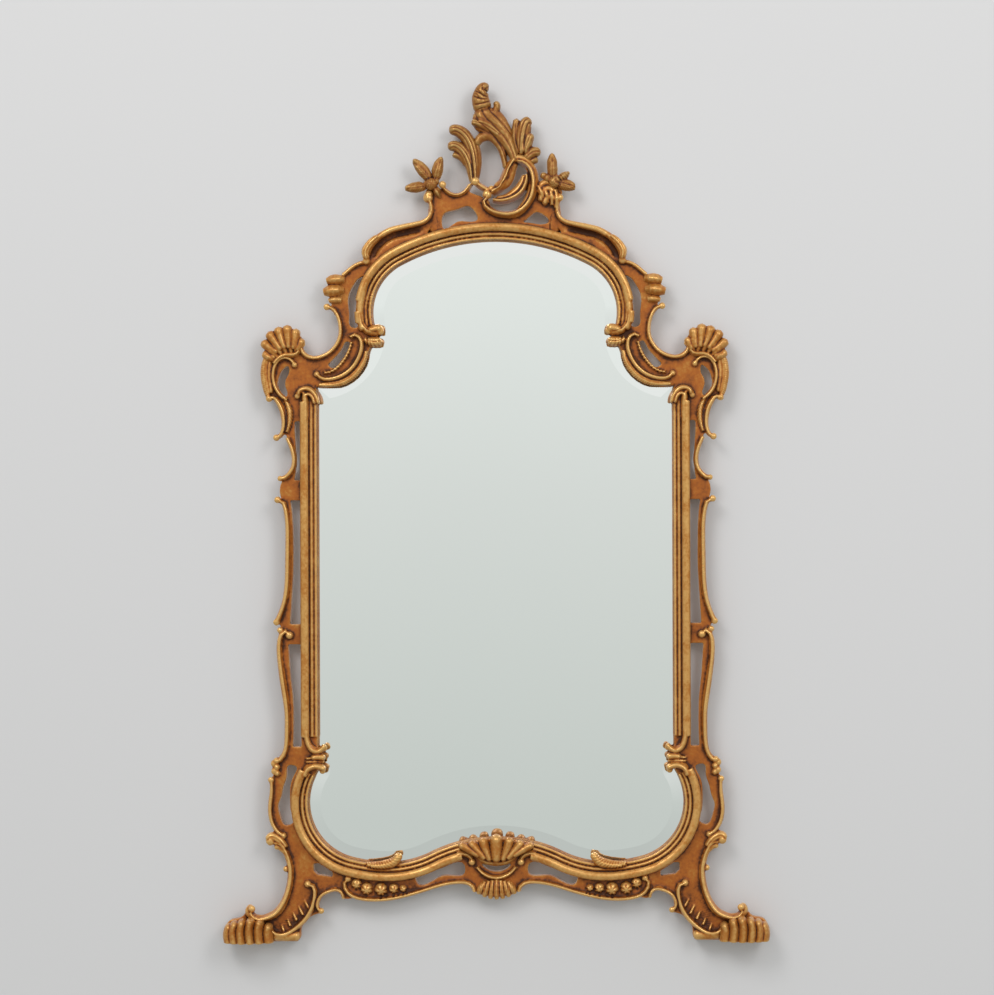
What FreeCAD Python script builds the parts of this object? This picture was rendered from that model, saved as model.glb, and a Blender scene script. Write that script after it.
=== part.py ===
"""Carved giltwood wall mirror: a jointed frame of pierced boards with raised scrolls, applied shells and
flowers, and a bevelled glass that lies in a rebate behind the sight moulding.

Heights are measured up from the soles of the feet and widths out from the centre line, in millimetres.
X runs across the mirror, Y into the wall and Z up. The origin lies on the wall, midway between the
hooks that carry the two hanging rings.
"""

import FreeCAD
import Part
import math
import os

from FreeCAD import Vector

# Visible glass
SIGHT_HALF = 284.5
SHOULDER_Z = 884.0
SPRING_RISE = 119.0
ARCH_RISE = 115.0
ARCH_HALF = 197.0
ARCH_SIDE_R = 88.0
CORNER_R = 93.0
CORNER_INSET = 76.5
CORNER_Z = 220.0
CORNER_END_DEG = 255.0
NOSE_R = 10.0
DIP_R1 = 232.0
DIP_R2 = 150.0
DIP_DEG = 26.5

# Depths, from the wall to the front
PAD_THICK = 6.0
BOARD_THICK = 18.0
REBATE_DEPTH = 8.0
REBATE_WIDTH = 9.0
CARVING_SINK = 1.0
RIB_RISE = 9.0

# Glass and its backing
GLASS_THICK = 5.0
GLASS_RIM = 2.5
GLASS_GAP = 1.0
BEVEL_WIDTH = 28.0
TAPE_THICK = 1.0
TAPE_WIDTH = 5.0
TAPE_GAP = 0.8
FELT_THICK = 3.4
FIT_GAP = 0.1
BACKBOARD_THICK = 4.0
BACKBOARD_LAP = 17.0

# Joints between the boards of the frame
HEAD_JOINT_RISE = 137.0
FOOT_JOINT_Z = 296.0
RAIL_JOINT_INSET = 28.5
CREST_SEAT = 26.0
DOWEL_R = 3.0
DOWEL_LENGTH = 28.0
HOLE_GAP = 0.1

# Side openwork
BRIDGE_HIGH_Z = 719.0
BRIDGE_LOW_Z = 489.5
BRIDGE_TALL = 32.0
SLOT_INSET = 26.0

# Hardware
SCREW_R = 1.6
SCREW_HEAD_R = 3.4
SCREW_LENGTH = 12.0
STRAP_WIDTH = 12.0
STRAP_LENGTH = 25.0
STRAP_THICK = 1.2
RING_WIRE_R = 1.5
RING_INSIDE = 15.0
RING_GAP = 0.3
RING_CLEAR = 1.0
HANGER_RISE = 25.0
SCREW_HEAD_TALL = 1.4
RING_HALF = 9.5
PAD_R = 8.0

# Levels worked out from the sizes above
SPRING_Z = SHOULDER_Z + SPRING_RISE
CROWN_Z = SPRING_Z + ARCH_RISE
HEAD_JOINT_Z = SHOULDER_Z + HEAD_JOINT_RISE
RAIL_JOINT = SIGHT_HALF - RAIL_JOINT_INSET
BACK_Y = -PAD_THICK
FRONT_Y = BACK_Y - BOARD_THICK
LIP_Y = BACK_Y - REBATE_DEPTH
SINK_Y = FRONT_Y + CARVING_SINK
RING_AXIS_Z = SHOULDER_Z + HANGER_RISE
HANGER_U = BACKBOARD_LAP + RING_CLEAR + RING_WIRE_R + RING_HALF
HANG_Z = RING_AXIS_Z + RING_INSIDE - RING_WIRE_R
FAR = 2000.0


def place(x, y, z):
    """A point given by its distance from the centre, its depth and its height above the soles."""
    return Vector(x, y, z - HANG_Z)


def side(points):
    """Points given from the left stile's sight edge, outwards, to points from the centre line."""
    return [(-(SIGHT_HALF + u), z) for u, z in points]


def upper(points):
    """Side points whose heights are measured from the shoulders."""
    return side([(u, SHOULDER_Z + rise) for u, rise in points])


def crown(points):
    """Points whose heights are measured from the top of the visible glass."""
    return [(x, CROWN_Z + rise) for x, rise in points]


def between(low, high, points):
    """Side points whose heights are shares of the way from one level to another."""
    return side([(u, low + share * (high - low)) for u, share in points])


def flip(points):
    """The same points on the other side of the centre line."""
    return [(-x, z) for x, z in points]


def eased(values, share):
    """The value at a share of the way along a short list of evenly spaced values."""
    if not isinstance(values, (tuple, list)):
        return values
    at = share * (len(values) - 1)
    low = min(int(at), len(values) - 2)
    return values[low] + (values[low + 1] - values[low]) * (at - low)


def run(points, y=0.0):
    """An edge through the points: a line through two of them, a smooth curve through more."""
    spots = [place(x, y, z) for x, z in points]
    if len(spots) == 2:
        return Part.makeLine(*spots)
    curve = Part.BSplineCurve()
    curve.interpolate(spots)
    return curve.toShape()


def outline(*runs):
    """A closed wire at the wall's plane. Each run starts where the one before it ends."""
    edges = []
    first = last = None
    for points in runs:
        chain = list(points) if last is None else [last, *points]
        first = first or chain[0]
        last = chain[-1]
        edges.append(run(chain))
    edges.append(run([last, first]))
    return Part.Wire(edges)


def loop(points):
    """A closed smooth wire through the points."""
    curve = Part.BSplineCurve()
    curve.interpolate([place(x, 0, z) for x, z in points], PeriodicFlag=True)
    return Part.Wire([curve.toShape()])


def slab(wires, back, front):
    """A pierced plate between two depths: the first wire is its edge, the rest are its openings."""
    plates = []
    for i, wire in enumerate(wires):
        margin = 1.0 if i else 0.0
        face = Part.Face(wire)
        face.translate(Vector(0, back + margin, 0))
        plates.append(face.extrude(Vector(0, front - back - 2 * margin, 0)))
    edge, *openings = plates
    return edge.cut(openings) if openings else edge


def rib(points, width, rise=RIB_RISE, back=SINK_Y):
    """A raised carved strand with a rounded front, along a smooth curve.

    Width and rise are one number or a short list of values from the strand's start to its end.
    """
    curve = Part.BSplineCurve()
    curve.interpolate([place(x, 0, z) for x, z in points])
    low, high = curve.FirstParameter, curve.LastParameter
    count = max(4, 2 * len(points) - 1)
    sections = []
    for i in range(count):
        share = i / (count - 1)
        at = low + share * (high - low)
        spot = curve.value(at)
        along = curve.tangent(at)[0]
        across = Vector(-along.z, 0, along.x)
        half = eased(width, share) / 2
        tall = FRONT_Y - eased(rise, share) - back
        arch = []
        for angle in (0, 45, 90, 135, 180):
            lean = math.radians(angle)
            arch.append(spot + across * (half * math.cos(lean)) + Vector(0, back + tall * math.sin(lean), 0))
        top = Part.BSplineCurve()
        top.interpolate(arch)
        sections.append(Part.Wire([top.toShape(), Part.makeLine(arch[-1], arch[0])]))
    return Part.makeLoft(sections, True, True)


def knob(x, z, radius, rise=0.0):
    """A round eye at the end of a scroll, or a bead, with a flat back inside the board."""
    return Part.makeSphere(radius, place(x, FRONT_Y - rise, z), Vector(0, -1, 0), -60, 90, 360)


def lobes(tips, roots, width, rise, back=FRONT_Y):
    """A fan of plump lobes, each from its root to its tip."""
    fan = []
    for tip, root in zip(tips, roots):
        middle = ((tip[0] + root[0]) / 2, (tip[1] + root[1]) / 2)
        fan.append(rib([root, middle, tip], (width * 0.55, width, width * 1.15, width * 0.5),
                       (rise * 0.6, rise, rise, rise * 0.45), back))
    return fan


def fused(solids):
    """One solid from several that overlap."""
    first, *others = solids
    return first.multiFuse(others) if others else first


def chained(solids):
    """One solid from several that overlap, joined one after another."""
    whole, *others = solids
    for solid in others:
        whole = whole.fuse(solid)
    return whole


def mirrored(shape):
    """The same piece for the other side of the mirror."""
    return shape.mirror(Vector(0, 0, 0), Vector(1, 0, 0))


def block(x0, x1, z0, z1, y0=-FAR, y1=FAR):
    """A box between two widths, two heights and two depths."""
    corner = place(x0, y0, z0)
    return Part.makeBox(x1 - x0, y1 - y0, z1 - z0, corner)


# Sight line: the edge of the visible glass, as lines and tangent arcs


def polar(centre, radius, degrees):
    """The point of a circle at an angle, anticlockwise from the right as seen from the front."""
    lean = math.radians(degrees)
    return (centre[0] + radius * math.cos(lean), centre[1] + radius * math.sin(lean))


def bearing(centre, spot):
    """The angle of a point about a centre, from 0 to 360 degrees."""
    return math.degrees(math.atan2(spot[1] - centre[1], spot[0] - centre[0])) % 360


def sight_arcs():
    """The left half of the sight line from the crown down: name to (centre, radius, start, end) of each arc."""
    side_c = (ARCH_SIDE_R - ARCH_HALF, SPRING_Z)
    gap = ARCH_RISE - ARCH_SIDE_R
    drop = (side_c[0] ** 2 - gap ** 2) / (2 * gap)
    crown_c = (0.0, SPRING_Z - drop)
    crown_r = ARCH_RISE + drop
    reach = SIGHT_HALF + side_c[0]
    shoulder_r = (reach ** 2 + SPRING_RISE ** 2 - ARCH_SIDE_R ** 2) / (2 * (SPRING_RISE + ARCH_SIDE_R))
    shoulder_c = (-SIGHT_HALF, SHOULDER_Z + shoulder_r)
    corner_c = (CORNER_INSET - SIGHT_HALF, CORNER_Z)
    nose_x = -SIGHT_HALF - NOSE_R
    nose_c = (nose_x, CORNER_Z + math.sqrt((CORNER_R + NOSE_R) ** 2 - (nose_x - corner_c[0]) ** 2))
    turn = math.radians(CORNER_END_DEG)
    dip1_c = (corner_c[0] + (CORNER_R - DIP_R1) * math.cos(turn), CORNER_Z + (CORNER_R - DIP_R1) * math.sin(turn))
    dip2_c = (dip1_c[0], dip1_c[1] - DIP_R1 + DIP_R2)
    rise_r = -dip2_c[0] / math.sin(math.radians(DIP_DEG)) - DIP_R2
    rise_c = (0.0, dip2_c[1] - (DIP_R2 + rise_r) * math.cos(math.radians(DIP_DEG)))
    join = bearing(crown_c, side_c)
    return {
        "crown": (crown_c, crown_r, 90, join),
        "arch_side": (side_c, ARCH_SIDE_R, join, bearing(side_c, shoulder_c)),
        "shoulder": (shoulder_c, shoulder_r, bearing(shoulder_c, side_c), -90),
        "nose": (nose_c, NOSE_R, 0, bearing(nose_c, corner_c) - 360),
        "corner": (corner_c, CORNER_R, bearing(corner_c, nose_c), CORNER_END_DEG),
        "dip_left": (dip1_c, DIP_R1, CORNER_END_DEG, 270),
        "dip_right": (dip2_c, DIP_R2, 270, 270 + DIP_DEG),
        "rise": (rise_c, rise_r, 90 + DIP_DEG, 90),
    }


ARCS = sight_arcs()


def sight_wire():
    """The closed sight line at the wall's plane."""
    left = []
    for centre, radius, start, end in ARCS.values():
        left.append([polar(centre, radius, a) for a in (start, (start + end) / 2, end)])
    stile = [left[2][2], left[3][0]]
    left.insert(3, [stile[0], None, stile[1]])
    right = [[None if p is None else (-p[0], p[1]) for p in reversed(arc)] for arc in reversed(left)]
    edges = []
    for start, middle, end in left + right:
        if middle is None:
            edges.append(Part.makeLine(place(start[0], 0, start[1]), place(end[0], 0, end[1])))
        else:
            edges.append(Part.Arc(*[place(x, 0, z) for x, z in (start, middle, end)]).toShape())
    return Part.Wire(edges)


SIGHT = sight_wire()


def around_glass(offset, y=0.0):
    """The sight line moved outwards by an offset, at a depth."""
    wire = SIGHT.makeOffset2D(offset, 2) if offset else SIGHT.copy()
    wire.translate(Vector(0, y, 0))
    return wire


def prism(offset, back, front):
    """The space inside the moved sight line, between two depths."""
    return Part.Face(around_glass(offset, back)).extrude(Vector(0, front - back, 0))



# Sight moulding: three beads of different size, carried along the sight line

BEADS = [
    [(-3, -5), (-3, 0)],
    [(-3, 0), (0, 0)],
    [(0, 0), (2, 3), (4, 1)],
    [(4, 1), (5.5, -1)],
    [(5.5, -1), (7, 0.5)],
    [(7, 0.5), (9, 4.5), (11, 2.5)],
    [(11, 2.5), (12.5, 1)],
    [(12.5, 1), (14, 2.5)],
    [(14, 2.5), (18, 12.5), (22, 0)],
    [(22, 0), (22, -5)],
    [(22, -5), (-3, -5)],
]


def moulding_face(spot, outward):
    """The section of the moulding at a point of the sight line, with its direction away from the glass."""
    edges = []
    for points in BEADS:
        spots = []
        for reach, rise in points:
            spots.append(place(spot[0] + reach * outward[0], FRONT_Y - rise, spot[1] + reach * outward[1]))
        edges.append(Part.makeLine(*spots) if len(spots) == 2 else Part.Arc(*spots).toShape())
    return Part.Face(Part.Wire(edges))


def moulding_arc(name, start=None, end=None):
    """The moulding turned along one arc of the sight line."""
    centre, radius, first, last = ARCS[name]
    start = first if start is None else start
    end = last if end is None else end
    away = -1 if name in ("rise", "shoulder") else 1
    ray = polar((0, 0), away, start)
    face = moulding_face(polar(centre, radius, start), ray)
    return face.revolve(place(centre[0], 0, centre[1]), Vector(0, -1, 0), end - start).Solids[0]


def moulding_line(low, high):
    """The moulding drawn straight along the left stile."""
    face = moulding_face((-SIGHT_HALF, low), (-1, 0))
    return face.extrude(Vector(0, 0, high - low))


def frame_piece(wires, carving, keep, over=(), holes=()):
    """One board of the frame: pierced, carved, opened for the glass, rebated behind and cut at its joints."""
    body = fused([slab(wires, BACK_Y, FRONT_Y), *carving])
    body = body.cut(prism(0, 1.0, -FAR))
    if over:
        body = fused([body, *over])
    body = body.cut(prism(REBATE_WIDTH, 1.0, LIP_Y))
    body = body.common(keep)
    if holes:
        body = body.cut(Part.makeCompound(list(holes)))
    return max(body.Solids, key=lambda solid: solid.Volume)


# Curves shared by neighbouring boards

ARCH_GAP = upper([(-77.5, 176), (-71.5, 164), (-67.5, 148), (-65.5, 128), (-65, 109), (-65.5, 95), (-56.5, 95),
                  (-52.5, 114), (-51, 131), (-53.5, 151), (-61.5, 165), (-70.5, 174)])
EAR_GAP = upper([(46.5, 33), (56.5, 24), (61.5, 10), (59.5, -7), (50.5, -18), (46.5, -12), (49.5, 0),
                 (48.5, 13), (43.5, 25)])
SHOULDER_C = upper([(-17.5, 127), (-26.5, 124), (-34.5, 114), (-39, 99), (-39.5, 84), (-34.5, 69), (-25, 57),
                    (-11.5, 48.5), (4.5, 45.5), (16.5, 50), (23.5, 59), (22.5, 68)])
EAR_HOOK = upper([(34.5, 35), (39.5, 42), (48.5, 46), (58.5, 43), (66.5, 30), (68, 13), (63.5, -3),
                  (54.5, -15), (46.5, -21)])
EAR_LEAF = upper([(78, 50), (82, 36), (83, 19), (81, 3), (78, -11), (74, -19)])
EAR_TAIL = upper([(75, -19), (67.5, -17), (59.5, -26), (54, -38), (51.5, -52), (52, -66), (56.5, -77), (63.5, -81)])
SIDE_LOW = between(FOOT_JOINT_Z - 12, BRIDGE_LOW_Z + 5,
                   [(44, 0.97), (49.5, 1.0), (56.5, 0.974), (59.5, 0.922), (60, 0.846), (58, 0.741),
                    (54.5, 0.622), (51, 0.513), (48, 0.399), (47.5, 0.275), (48.5, 0.16), (51.5, 0.085),
                    (58.5, 0.033), (67.5, 0.007)])


def left_head():
    """Left half of the arched head, up to the shoulder joint."""
    sweep = crown([(-104, 66), (-100.5, 54), (-100, 45), (-104, 35), (-113, 28), (-128, 23.5)])
    sweep += [(-(ARCH_HALF + v), CROWN_Z + rise) for v, rise in
              [(-51, 19.5), (-32, 14.5), (-15, 5), (-2, -8), (5, -21), (7, -34)]]
    flank = upper([(-77.5, 198), (-63.5, 194), (-52.5, 186), (-42, 177)])
    centre, radius, first, last = ARCS["crown"]
    seat = [polar(centre, radius + CREST_SEAT, a) for a in (90, 95, 100, 105, 108)]
    edge = outline(seat, crown([(-93, 40)]), crown([(-97, 60), (-104, 66)]), sweep[1:], flank,
                   upper([(-29, 172), (-23, 160), (-21.5, 146), (-22.5, HEAD_JOINT_RISE)]), [(0, HEAD_JOINT_Z)])
    carving = [
        moulding_arc("crown"),
        moulding_arc("arch_side", end=ARCS["arch_side"][3] - 3),
        rib(sweep, (6, 6, 6, 7, 8, 9, 9, 9, 10, 11, 12, 8), (10, 9, 8, 9, 10, 11, 11, 11, 12, 12, 11, 8)),
        rib(flank, 6, 6),
        knob(*crown([(-104, 66)])[0], 6.5, 4),
        knob(*sweep[-1], 6, 4),
    ]
    keep = block(-FAR, 0, HEAD_JOINT_Z, FAR)
    return frame_piece([edge, loop(ARCH_GAP)], carving, keep, holes=dowel_holes())


def left_shoulder():
    """Left shoulder with its two C scrolls and the board of the ear."""
    gap = upper([(-19.5, 37), (-31.5, 49), (-41.5, 62), (-49.5, 72), (-54.5, 69), (-48.5, 54), (-36.5, 38),
                 (-23.5, 30.5)])
    inner = upper([(-54.5, 79), (-62.5, 82), (-70, 76), (-72, 63), (-67.5, 47), (-56.5, 30), (-41.5, 18.5),
                   (-24.5, 13), (-9.5, 13.5), (-1, 20)])
    rim = upper([(-56.5, 72), (-51.5, 56), (-40.5, 38), (-25.5, 25), (-12, 22)])
    frill = upper([(-80, 57), (-74, 38), (-60, 19), (-42, 7.5), (-22, 3.5), (-4, 3)])
    arch_end = [(-(ARCH_HALF + v), SPRING_Z + rise) for v, rise in
                [(18, 2), (15.5, -16), (7, -29), (-5, -34), (-15, -31)]]
    tongue = [(-(ARCH_HALF + v), SPRING_Z + rise) for v, rise in [(11, -43), (-4, -51), (-16, -51)]]
    ear = upper([(28, 72), (36, 84), (50, 87), (64, 82), (74, 71), (80, 57), (80, 45), (82, 25), (81, 0)])
    edge = outline(upper([(-22.5, HEAD_JOINT_RISE), (-26.5, 124)]), SHOULDER_C[2:-1], ear,
                   upper([(-130, 0)]), upper([(-130, HEAD_JOINT_RISE)]))
    carving = [
        moulding_arc("arch_side", start=180),
        rib(SHOULDER_C, (5, 7, 7.5, 7.5, 7.5, 7, 6)),
        rib(inner, (5, 7, 8, 8, 8, 8, 7, 5), 10),
        rib(rim, (4, 5, 5, 4), 5),
        rib(EAR_HOOK, (5, 7, 7, 7, 6)),
        rib(EAR_LEAF, (8, 11, 12, 12, 10, 7), 8),
        knob(*SHOULDER_C[0], 5.5, 4),
        knob(*SHOULDER_C[-1], 5.5, 4),
        knob(*EAR_HOOK[0], 4.5, 4),
        knob(*inner[-1], 4.5, 4),
    ]
    over = [
        rib(frill, (6, 11, 12, 12, 11, 6), (4, 5, 5, 5, 4)),
        rib(arch_end, (9, 9, 10, 10, 8), (12, 12, 12, 11, 9)),
        rib(tongue, (8, 11, 8), (8, 10, 6)),
        knob(*arch_end[-1], 6, 5),
    ]
    keep = block(-FAR, 0, SHOULDER_Z, HEAD_JOINT_Z)
    return frame_piece([edge, loop(ARCH_GAP), loop(gap), loop(EAR_GAP)], carving, keep, over,
                       [*dowel_holes(), *hanger_holes()])


def left_stile():
    """Left stile: the straight sight moulding and a slender scrolled edge on three bridges."""
    ledge = BRIDGE_TALL / 2
    first = between(BRIDGE_HIGH_Z + 14, SHOULDER_Z - 81,
                    [(47, 1.0), (39.5, 0.786), (35.5, 0.557), (36.5, 0.343), (42.5, 0.186), (52.5, 0.079), (58, 0.07)])
    second = between(BRIDGE_LOW_Z + ledge, BRIDGE_HIGH_Z - 14,
                     [(62, 0.995), (54.5, 0.98), (49, 0.915), (46, 0.81), (45.5, 0.65), (46, 0.474), (47, 0.323),
                      (50.5, 0.198), (56.5, 0.103), (64.5, 0.018)])
    slots = []
    for low, high, bulge in (
        (BRIDGE_HIGH_Z + ledge, SHOULDER_Z - 55, [(35, 1), (33.5, 0.6), (32.5, 0.32), (36, 0)]),
        (BRIDGE_LOW_Z + ledge, BRIDGE_HIGH_Z - ledge,
         [(42.5, 1), (39, 0.843), (38, 0.68), (38, 0.477), (39.5, 0.325), (41, 0.198), (43.5, 0)]),
        (FOOT_JOINT_Z + 14, BRIDGE_LOW_Z - ledge,
         [(46.5, 1), (44.5, 0.8), (42.5, 0.644), (39.5, 0.49), (38.5, 0.356), (38.5, 0.184), (39.5, 0)]),
    ):
        straight = between(low, high, [(SLOT_INSET, 0), (SLOT_INSET, 1)])
        curved = between(low, high, bulge)
        slots.append(outline(straight, curved[:1], curved[1:]))
    edge = outline(upper([(81, 0), (78, -11)]), EAR_TAIL[1:6], first[:6], second[1:], SIDE_LOW[2:-2],
                   side([(58, FOOT_JOINT_Z)]), side([(-20, FOOT_JOINT_Z)]), upper([(-20, 0)]))
    top_curl = upper([(18, -28), (17.5, -16), (21.5, -8), (28, -9), (30, -15)])
    spur = upper([(4, -24), (8.5, -8), (17, -2)])
    foot_curl = side([(18, FOOT_JOINT_Z + 40), (17, FOOT_JOINT_Z + 30), (12.5, FOOT_JOINT_Z + 17),
                      (4, FOOT_JOINT_Z + 10), (-6, FOOT_JOINT_Z + 10), (-11, FOOT_JOINT_Z + 12)])
    carving = [
        moulding_line(FOOT_JOINT_Z + 30, SHOULDER_Z - 24),
        rib(EAR_HOOK, (5, 7, 7, 7, 6)),
        rib(EAR_LEAF, (8, 11, 12, 12, 10, 7), 8),
        rib(EAR_TAIL, (6, 8, 9, 9, 8, 8, 6)),
        rib(upper([(49, -22), (43, -38), (43, -56), (47, -72)]), (6, 10, 9, 5), 6),
        rib(first, (6, 8, 8, 8, 8, 6)),
        rib(second, (6, 8, 9, 9, 9, 9, 8, 8)),
        rib(SIDE_LOW, (7, 9, 9, 10, 10, 9, 9, 8, 8)),
        rib(top_curl, (8, 8, 8, 7, 5), 10),
        rib(spur, (4, 7, 4), 5),
        knob(*EAR_TAIL[0], 5.5, 4),
        knob(*EAR_TAIL[-1], 5.5, 4),
        knob(*first[-1], 4.5, 3),
        knob(*second[0], 5.5, 4),
        knob(*second[-1], 5.5, 3),
        knob(*side([(59, BRIDGE_LOW_Z + 7)])[0], 5, 3),
        knob(*SIDE_LOW[0], 6, 4),
        knob(*top_curl[-1], 4.5, 5),
    ]
    over = [
        rib(foot_curl, (8, 8, 8, 8, 8, 6), (12, 12, 11, 10, 9, 8)),
        knob(*foot_curl[-1], 5, 4),
    ]
    keep = block(-FAR, 0, FOOT_JOINT_Z, SHOULDER_Z)
    return frame_piece([edge, *slots, loop(EAR_GAP)], carving, keep, over, dowel_holes())


def left_foot():
    """Left lower corner: the C-shaped corner of the sight, the scrolled foot and half of the bracket scroll."""
    outer = side([(74, 258), (72.5, 240), (74.5, 222), (75, 205), (71.5, 189), (63.5, 176), (55, 169)])
    leg = side([(68.5, 158), (56.5, 152), (48.5, 138), (43.5, 119), (43.5, 98), (47.5, 79), (54.5, 62),
                (66.5, 46), (83.5, 38), (96.5, 37), (106, 45), (104, 54)])
    fan = side([(16, 92), (7.5, 88), (5.5, 74), (9.5, 56), (20.5, 37), (37.5, 21), (55.5, 12), (70.5, 15), (78, 27)])
    bracket = bracket_scroll()
    slot = side([(42.5, 281), (33.5, 277), (39.5, 262), (44.5, 240), (44.5, 219), (42.5, 205), (39.5, 190),
                 (51.5, 185), (60.5, 200), (63.5, 217), (58.5, 231), (55.5, 245), (49.5, 268)])
    eyelet = outline(*[side([spot]) if i else side([(7, 112), spot]) for i, spot in
                       enumerate([(7, 124), (-1.5, 124), (-23.5, 110), (-22.5, 102.5), (0.5, 106)])])
    toe = side([(106, 45), (112, 49), (122, 39), (140, 34), (148, 24), (148, 12), (144, 0)])
    edge = outline(side([(58, FOOT_JOINT_Z), (65, 290), (68, 280), (68, 268)]), outer, side([(62, 163)]), leg[:-1],
                   toe[1:], side([(33, 0)]), side([(28, 8), (28, 17), (20, 32), (9, 41), (-4, 44)]), bracket[:-2],
                   side([(-70, 83)]), side([(-70, FOOT_JOINT_Z)]))
    collar = [rib(side([(18, z), (2, z + 1), (-11, z)]), (3, 6, 3), (6, 9, 5))
              for z in (FOOT_JOINT_Z - 4.5, FOOT_JOINT_Z - 10)]
    curl = side([(19, 270), (15, 278), (6, 281), (-3, 278), (-8, 272)])
    carving = [
        moulding_arc("corner", start=152),
        moulding_arc("dip_left"),
        rib(SIDE_LOW, (7, 9, 9, 10, 10, 9, 9, 8, 8)),
        rib(outer, (6, 7, 8, 8, 8, 8, 6)),
        rib(leg, (8, 10, 10, 10, 10, 10, 10, 11, 11, 10, 9, 7), (10, 11, 11, 11, 11, 12, 14, 16, 18, 18, 17, 15)),
        rib(fan, (6, 8, 9, 9, 9, 9, 9, 8, 6), 11),
        rib(bracket, (5, 7, 7, 7, 7, 5), 8),
        knob(*side([(68, 284)])[0], 6.5, 3),
        knob(*side([(67.5, 272)])[0], 6.5, 3),
        knob(*outer[0], 5, 4),
        knob(*outer[-1], 5, 3),
        knob(*side([(75, 161)])[0], 7.5, 5),
        knob(*side([(50.5, 116)])[0], 5, 3),
        knob(*fan[0], 5.5, 4),
        knob(*leg[-1], 5.5, 13),
        knob(*bracket[0], 5, 3),
    ]
    for i in range(5):
        root = side([(22 + 9 * i, 66 - 10 * i)])[0]
        tip = side([(14 + 10 * i, 52 - 9 * i)])[0]
        carving.append(rib([root, tip], (3, 5), (2, 6)))
    over = [
        rib(curl, (9, 9, 8, 7, 6), (12, 12, 11, 10, 8)),
        knob(*curl[-1], 5, 4),
        *collar,
    ]
    keep = block(-FAR, -RAIL_JOINT, -50, FOOT_JOINT_Z)
    keep = keep.cut(block(-FAR, FAR, -100, 0))
    return frame_piece([edge, loop(slot), eyelet], carving, keep, over, dowel_holes())


def bracket_scroll():
    """Centre line of the small scroll under the lower corner, across the joint with the bottom rail."""
    return side([(-5, 49), (1, 54), (1, 64), (-5, 74), (-18, 81), (-32, 82.5), (-38, 78), (-40, 68)])


def bottom_rail():
    """Serpentine bottom rail with beads, pierced openings and the seat of the shell."""
    left = side([(-28.5, 82.5), (-32, 82.5), (-38, 78), (-40, 69), (-46, 67), (-58, 69), (-78, 65), (-100, 66)])
    left += [(-165, 69), (-145, 73.5), (-120, 80), (-95, 88), (-70, 93), (-55, 94.5), (-42, 91), (-35, 84), (-30, 76),
             (-18, 72), (0, 70)]
    right = flip(left[:-1])[::-1]
    edge = outline(left + right, [(RAIL_JOINT, 300)], [(-RAIL_JOINT, 300)])
    gap = [(-129, 99), (-124, 89.5), (-101, 96), (-83, 104), (-51, 108), (-53, 123), (-73, 122), (-96, 114)]
    smile = outline([(-24, 123), (-14, 113.5), (0, 110), (14, 113.5), (24, 123)])
    hem = side([(-48, 100), (-42, 92), (-47, 79), (-61, 70.5), (-81, 67), (-102, 67)])
    hem += [(-163, 69.5), (-143, 74), (-120, 80.5), (-98, 87.5), (-78, 92.5), (-60, 94.5), (-47, 93), (-38, 87),
            (-35, 78)]
    bead_end = [(-62, 138.5), (-54, 139.5), (-46, 137.5), (-40.5, 132), (-39, 126)]
    ring = [(-31, 118), (-22, 108), (-10, 102), (0, 100.5), (10, 102), (22, 108), (31, 118)]
    leaf = side([(-78, 123), (-94, 121), (-110, 123), (-123, 130), (-130, 140)])
    pearls = [(*side([(-61.5, 92)])[0], 8), (*side([(-77.5, 84)])[0], 9.5), (*side([(-100.5, 83)])[0], 10),
              (-164, 84, 7.5), (-149, 84, 5.5)]
    centre, radius, first, last = ARCS["rise"]
    stop = math.degrees(math.acos(-60 / radius))
    half = [
        moulding_arc("corner", start=200),
        moulding_arc("dip_left"),
        moulding_arc("dip_right"),
        moulding_arc("rise", end=stop),
        rib(hem, (5, 7, 7, 7, 7, 7, 7, 7, 7, 7, 6), 8),
        rib(bracket_scroll(), (5, 7, 7, 7, 7, 5), 8),
        rib(bead_end, (8, 9, 8, 7, 6), (12, 12, 11, 9, 7)),
        knob(*bead_end[-1], 5.5, 4),
        knob(*hem[0], 5, 3),
        *[knob(x, z, radius, 1) for x, z, radius in pearls],
    ]
    carving = [*half, *[mirrored(shape) for shape in half], rib(ring, (5, 7, 7, 7, 5), 8)]
    over = [rib(leaf, (7, 12, 14, 12, 7), (9, 12, 12, 10, 6))]
    over.append(mirrored(over[0]))
    keep = block(-RAIL_JOINT, RAIL_JOINT, 0, 300)
    holes = [*dowel_holes(), *[mirrored(hole) for hole in dowel_holes()]]
    return frame_piece([edge, loop(gap), loop(flip(gap)), smile], carving, keep, over, holes)


def crest_strands(strands):
    """Leaf strands of the crest, carved in the round: points from the crown, widths, rises and back."""
    return [rib(crown(points), width, rise, BACK_Y - 3 - step) for points, width, rise, step in strands]


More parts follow.
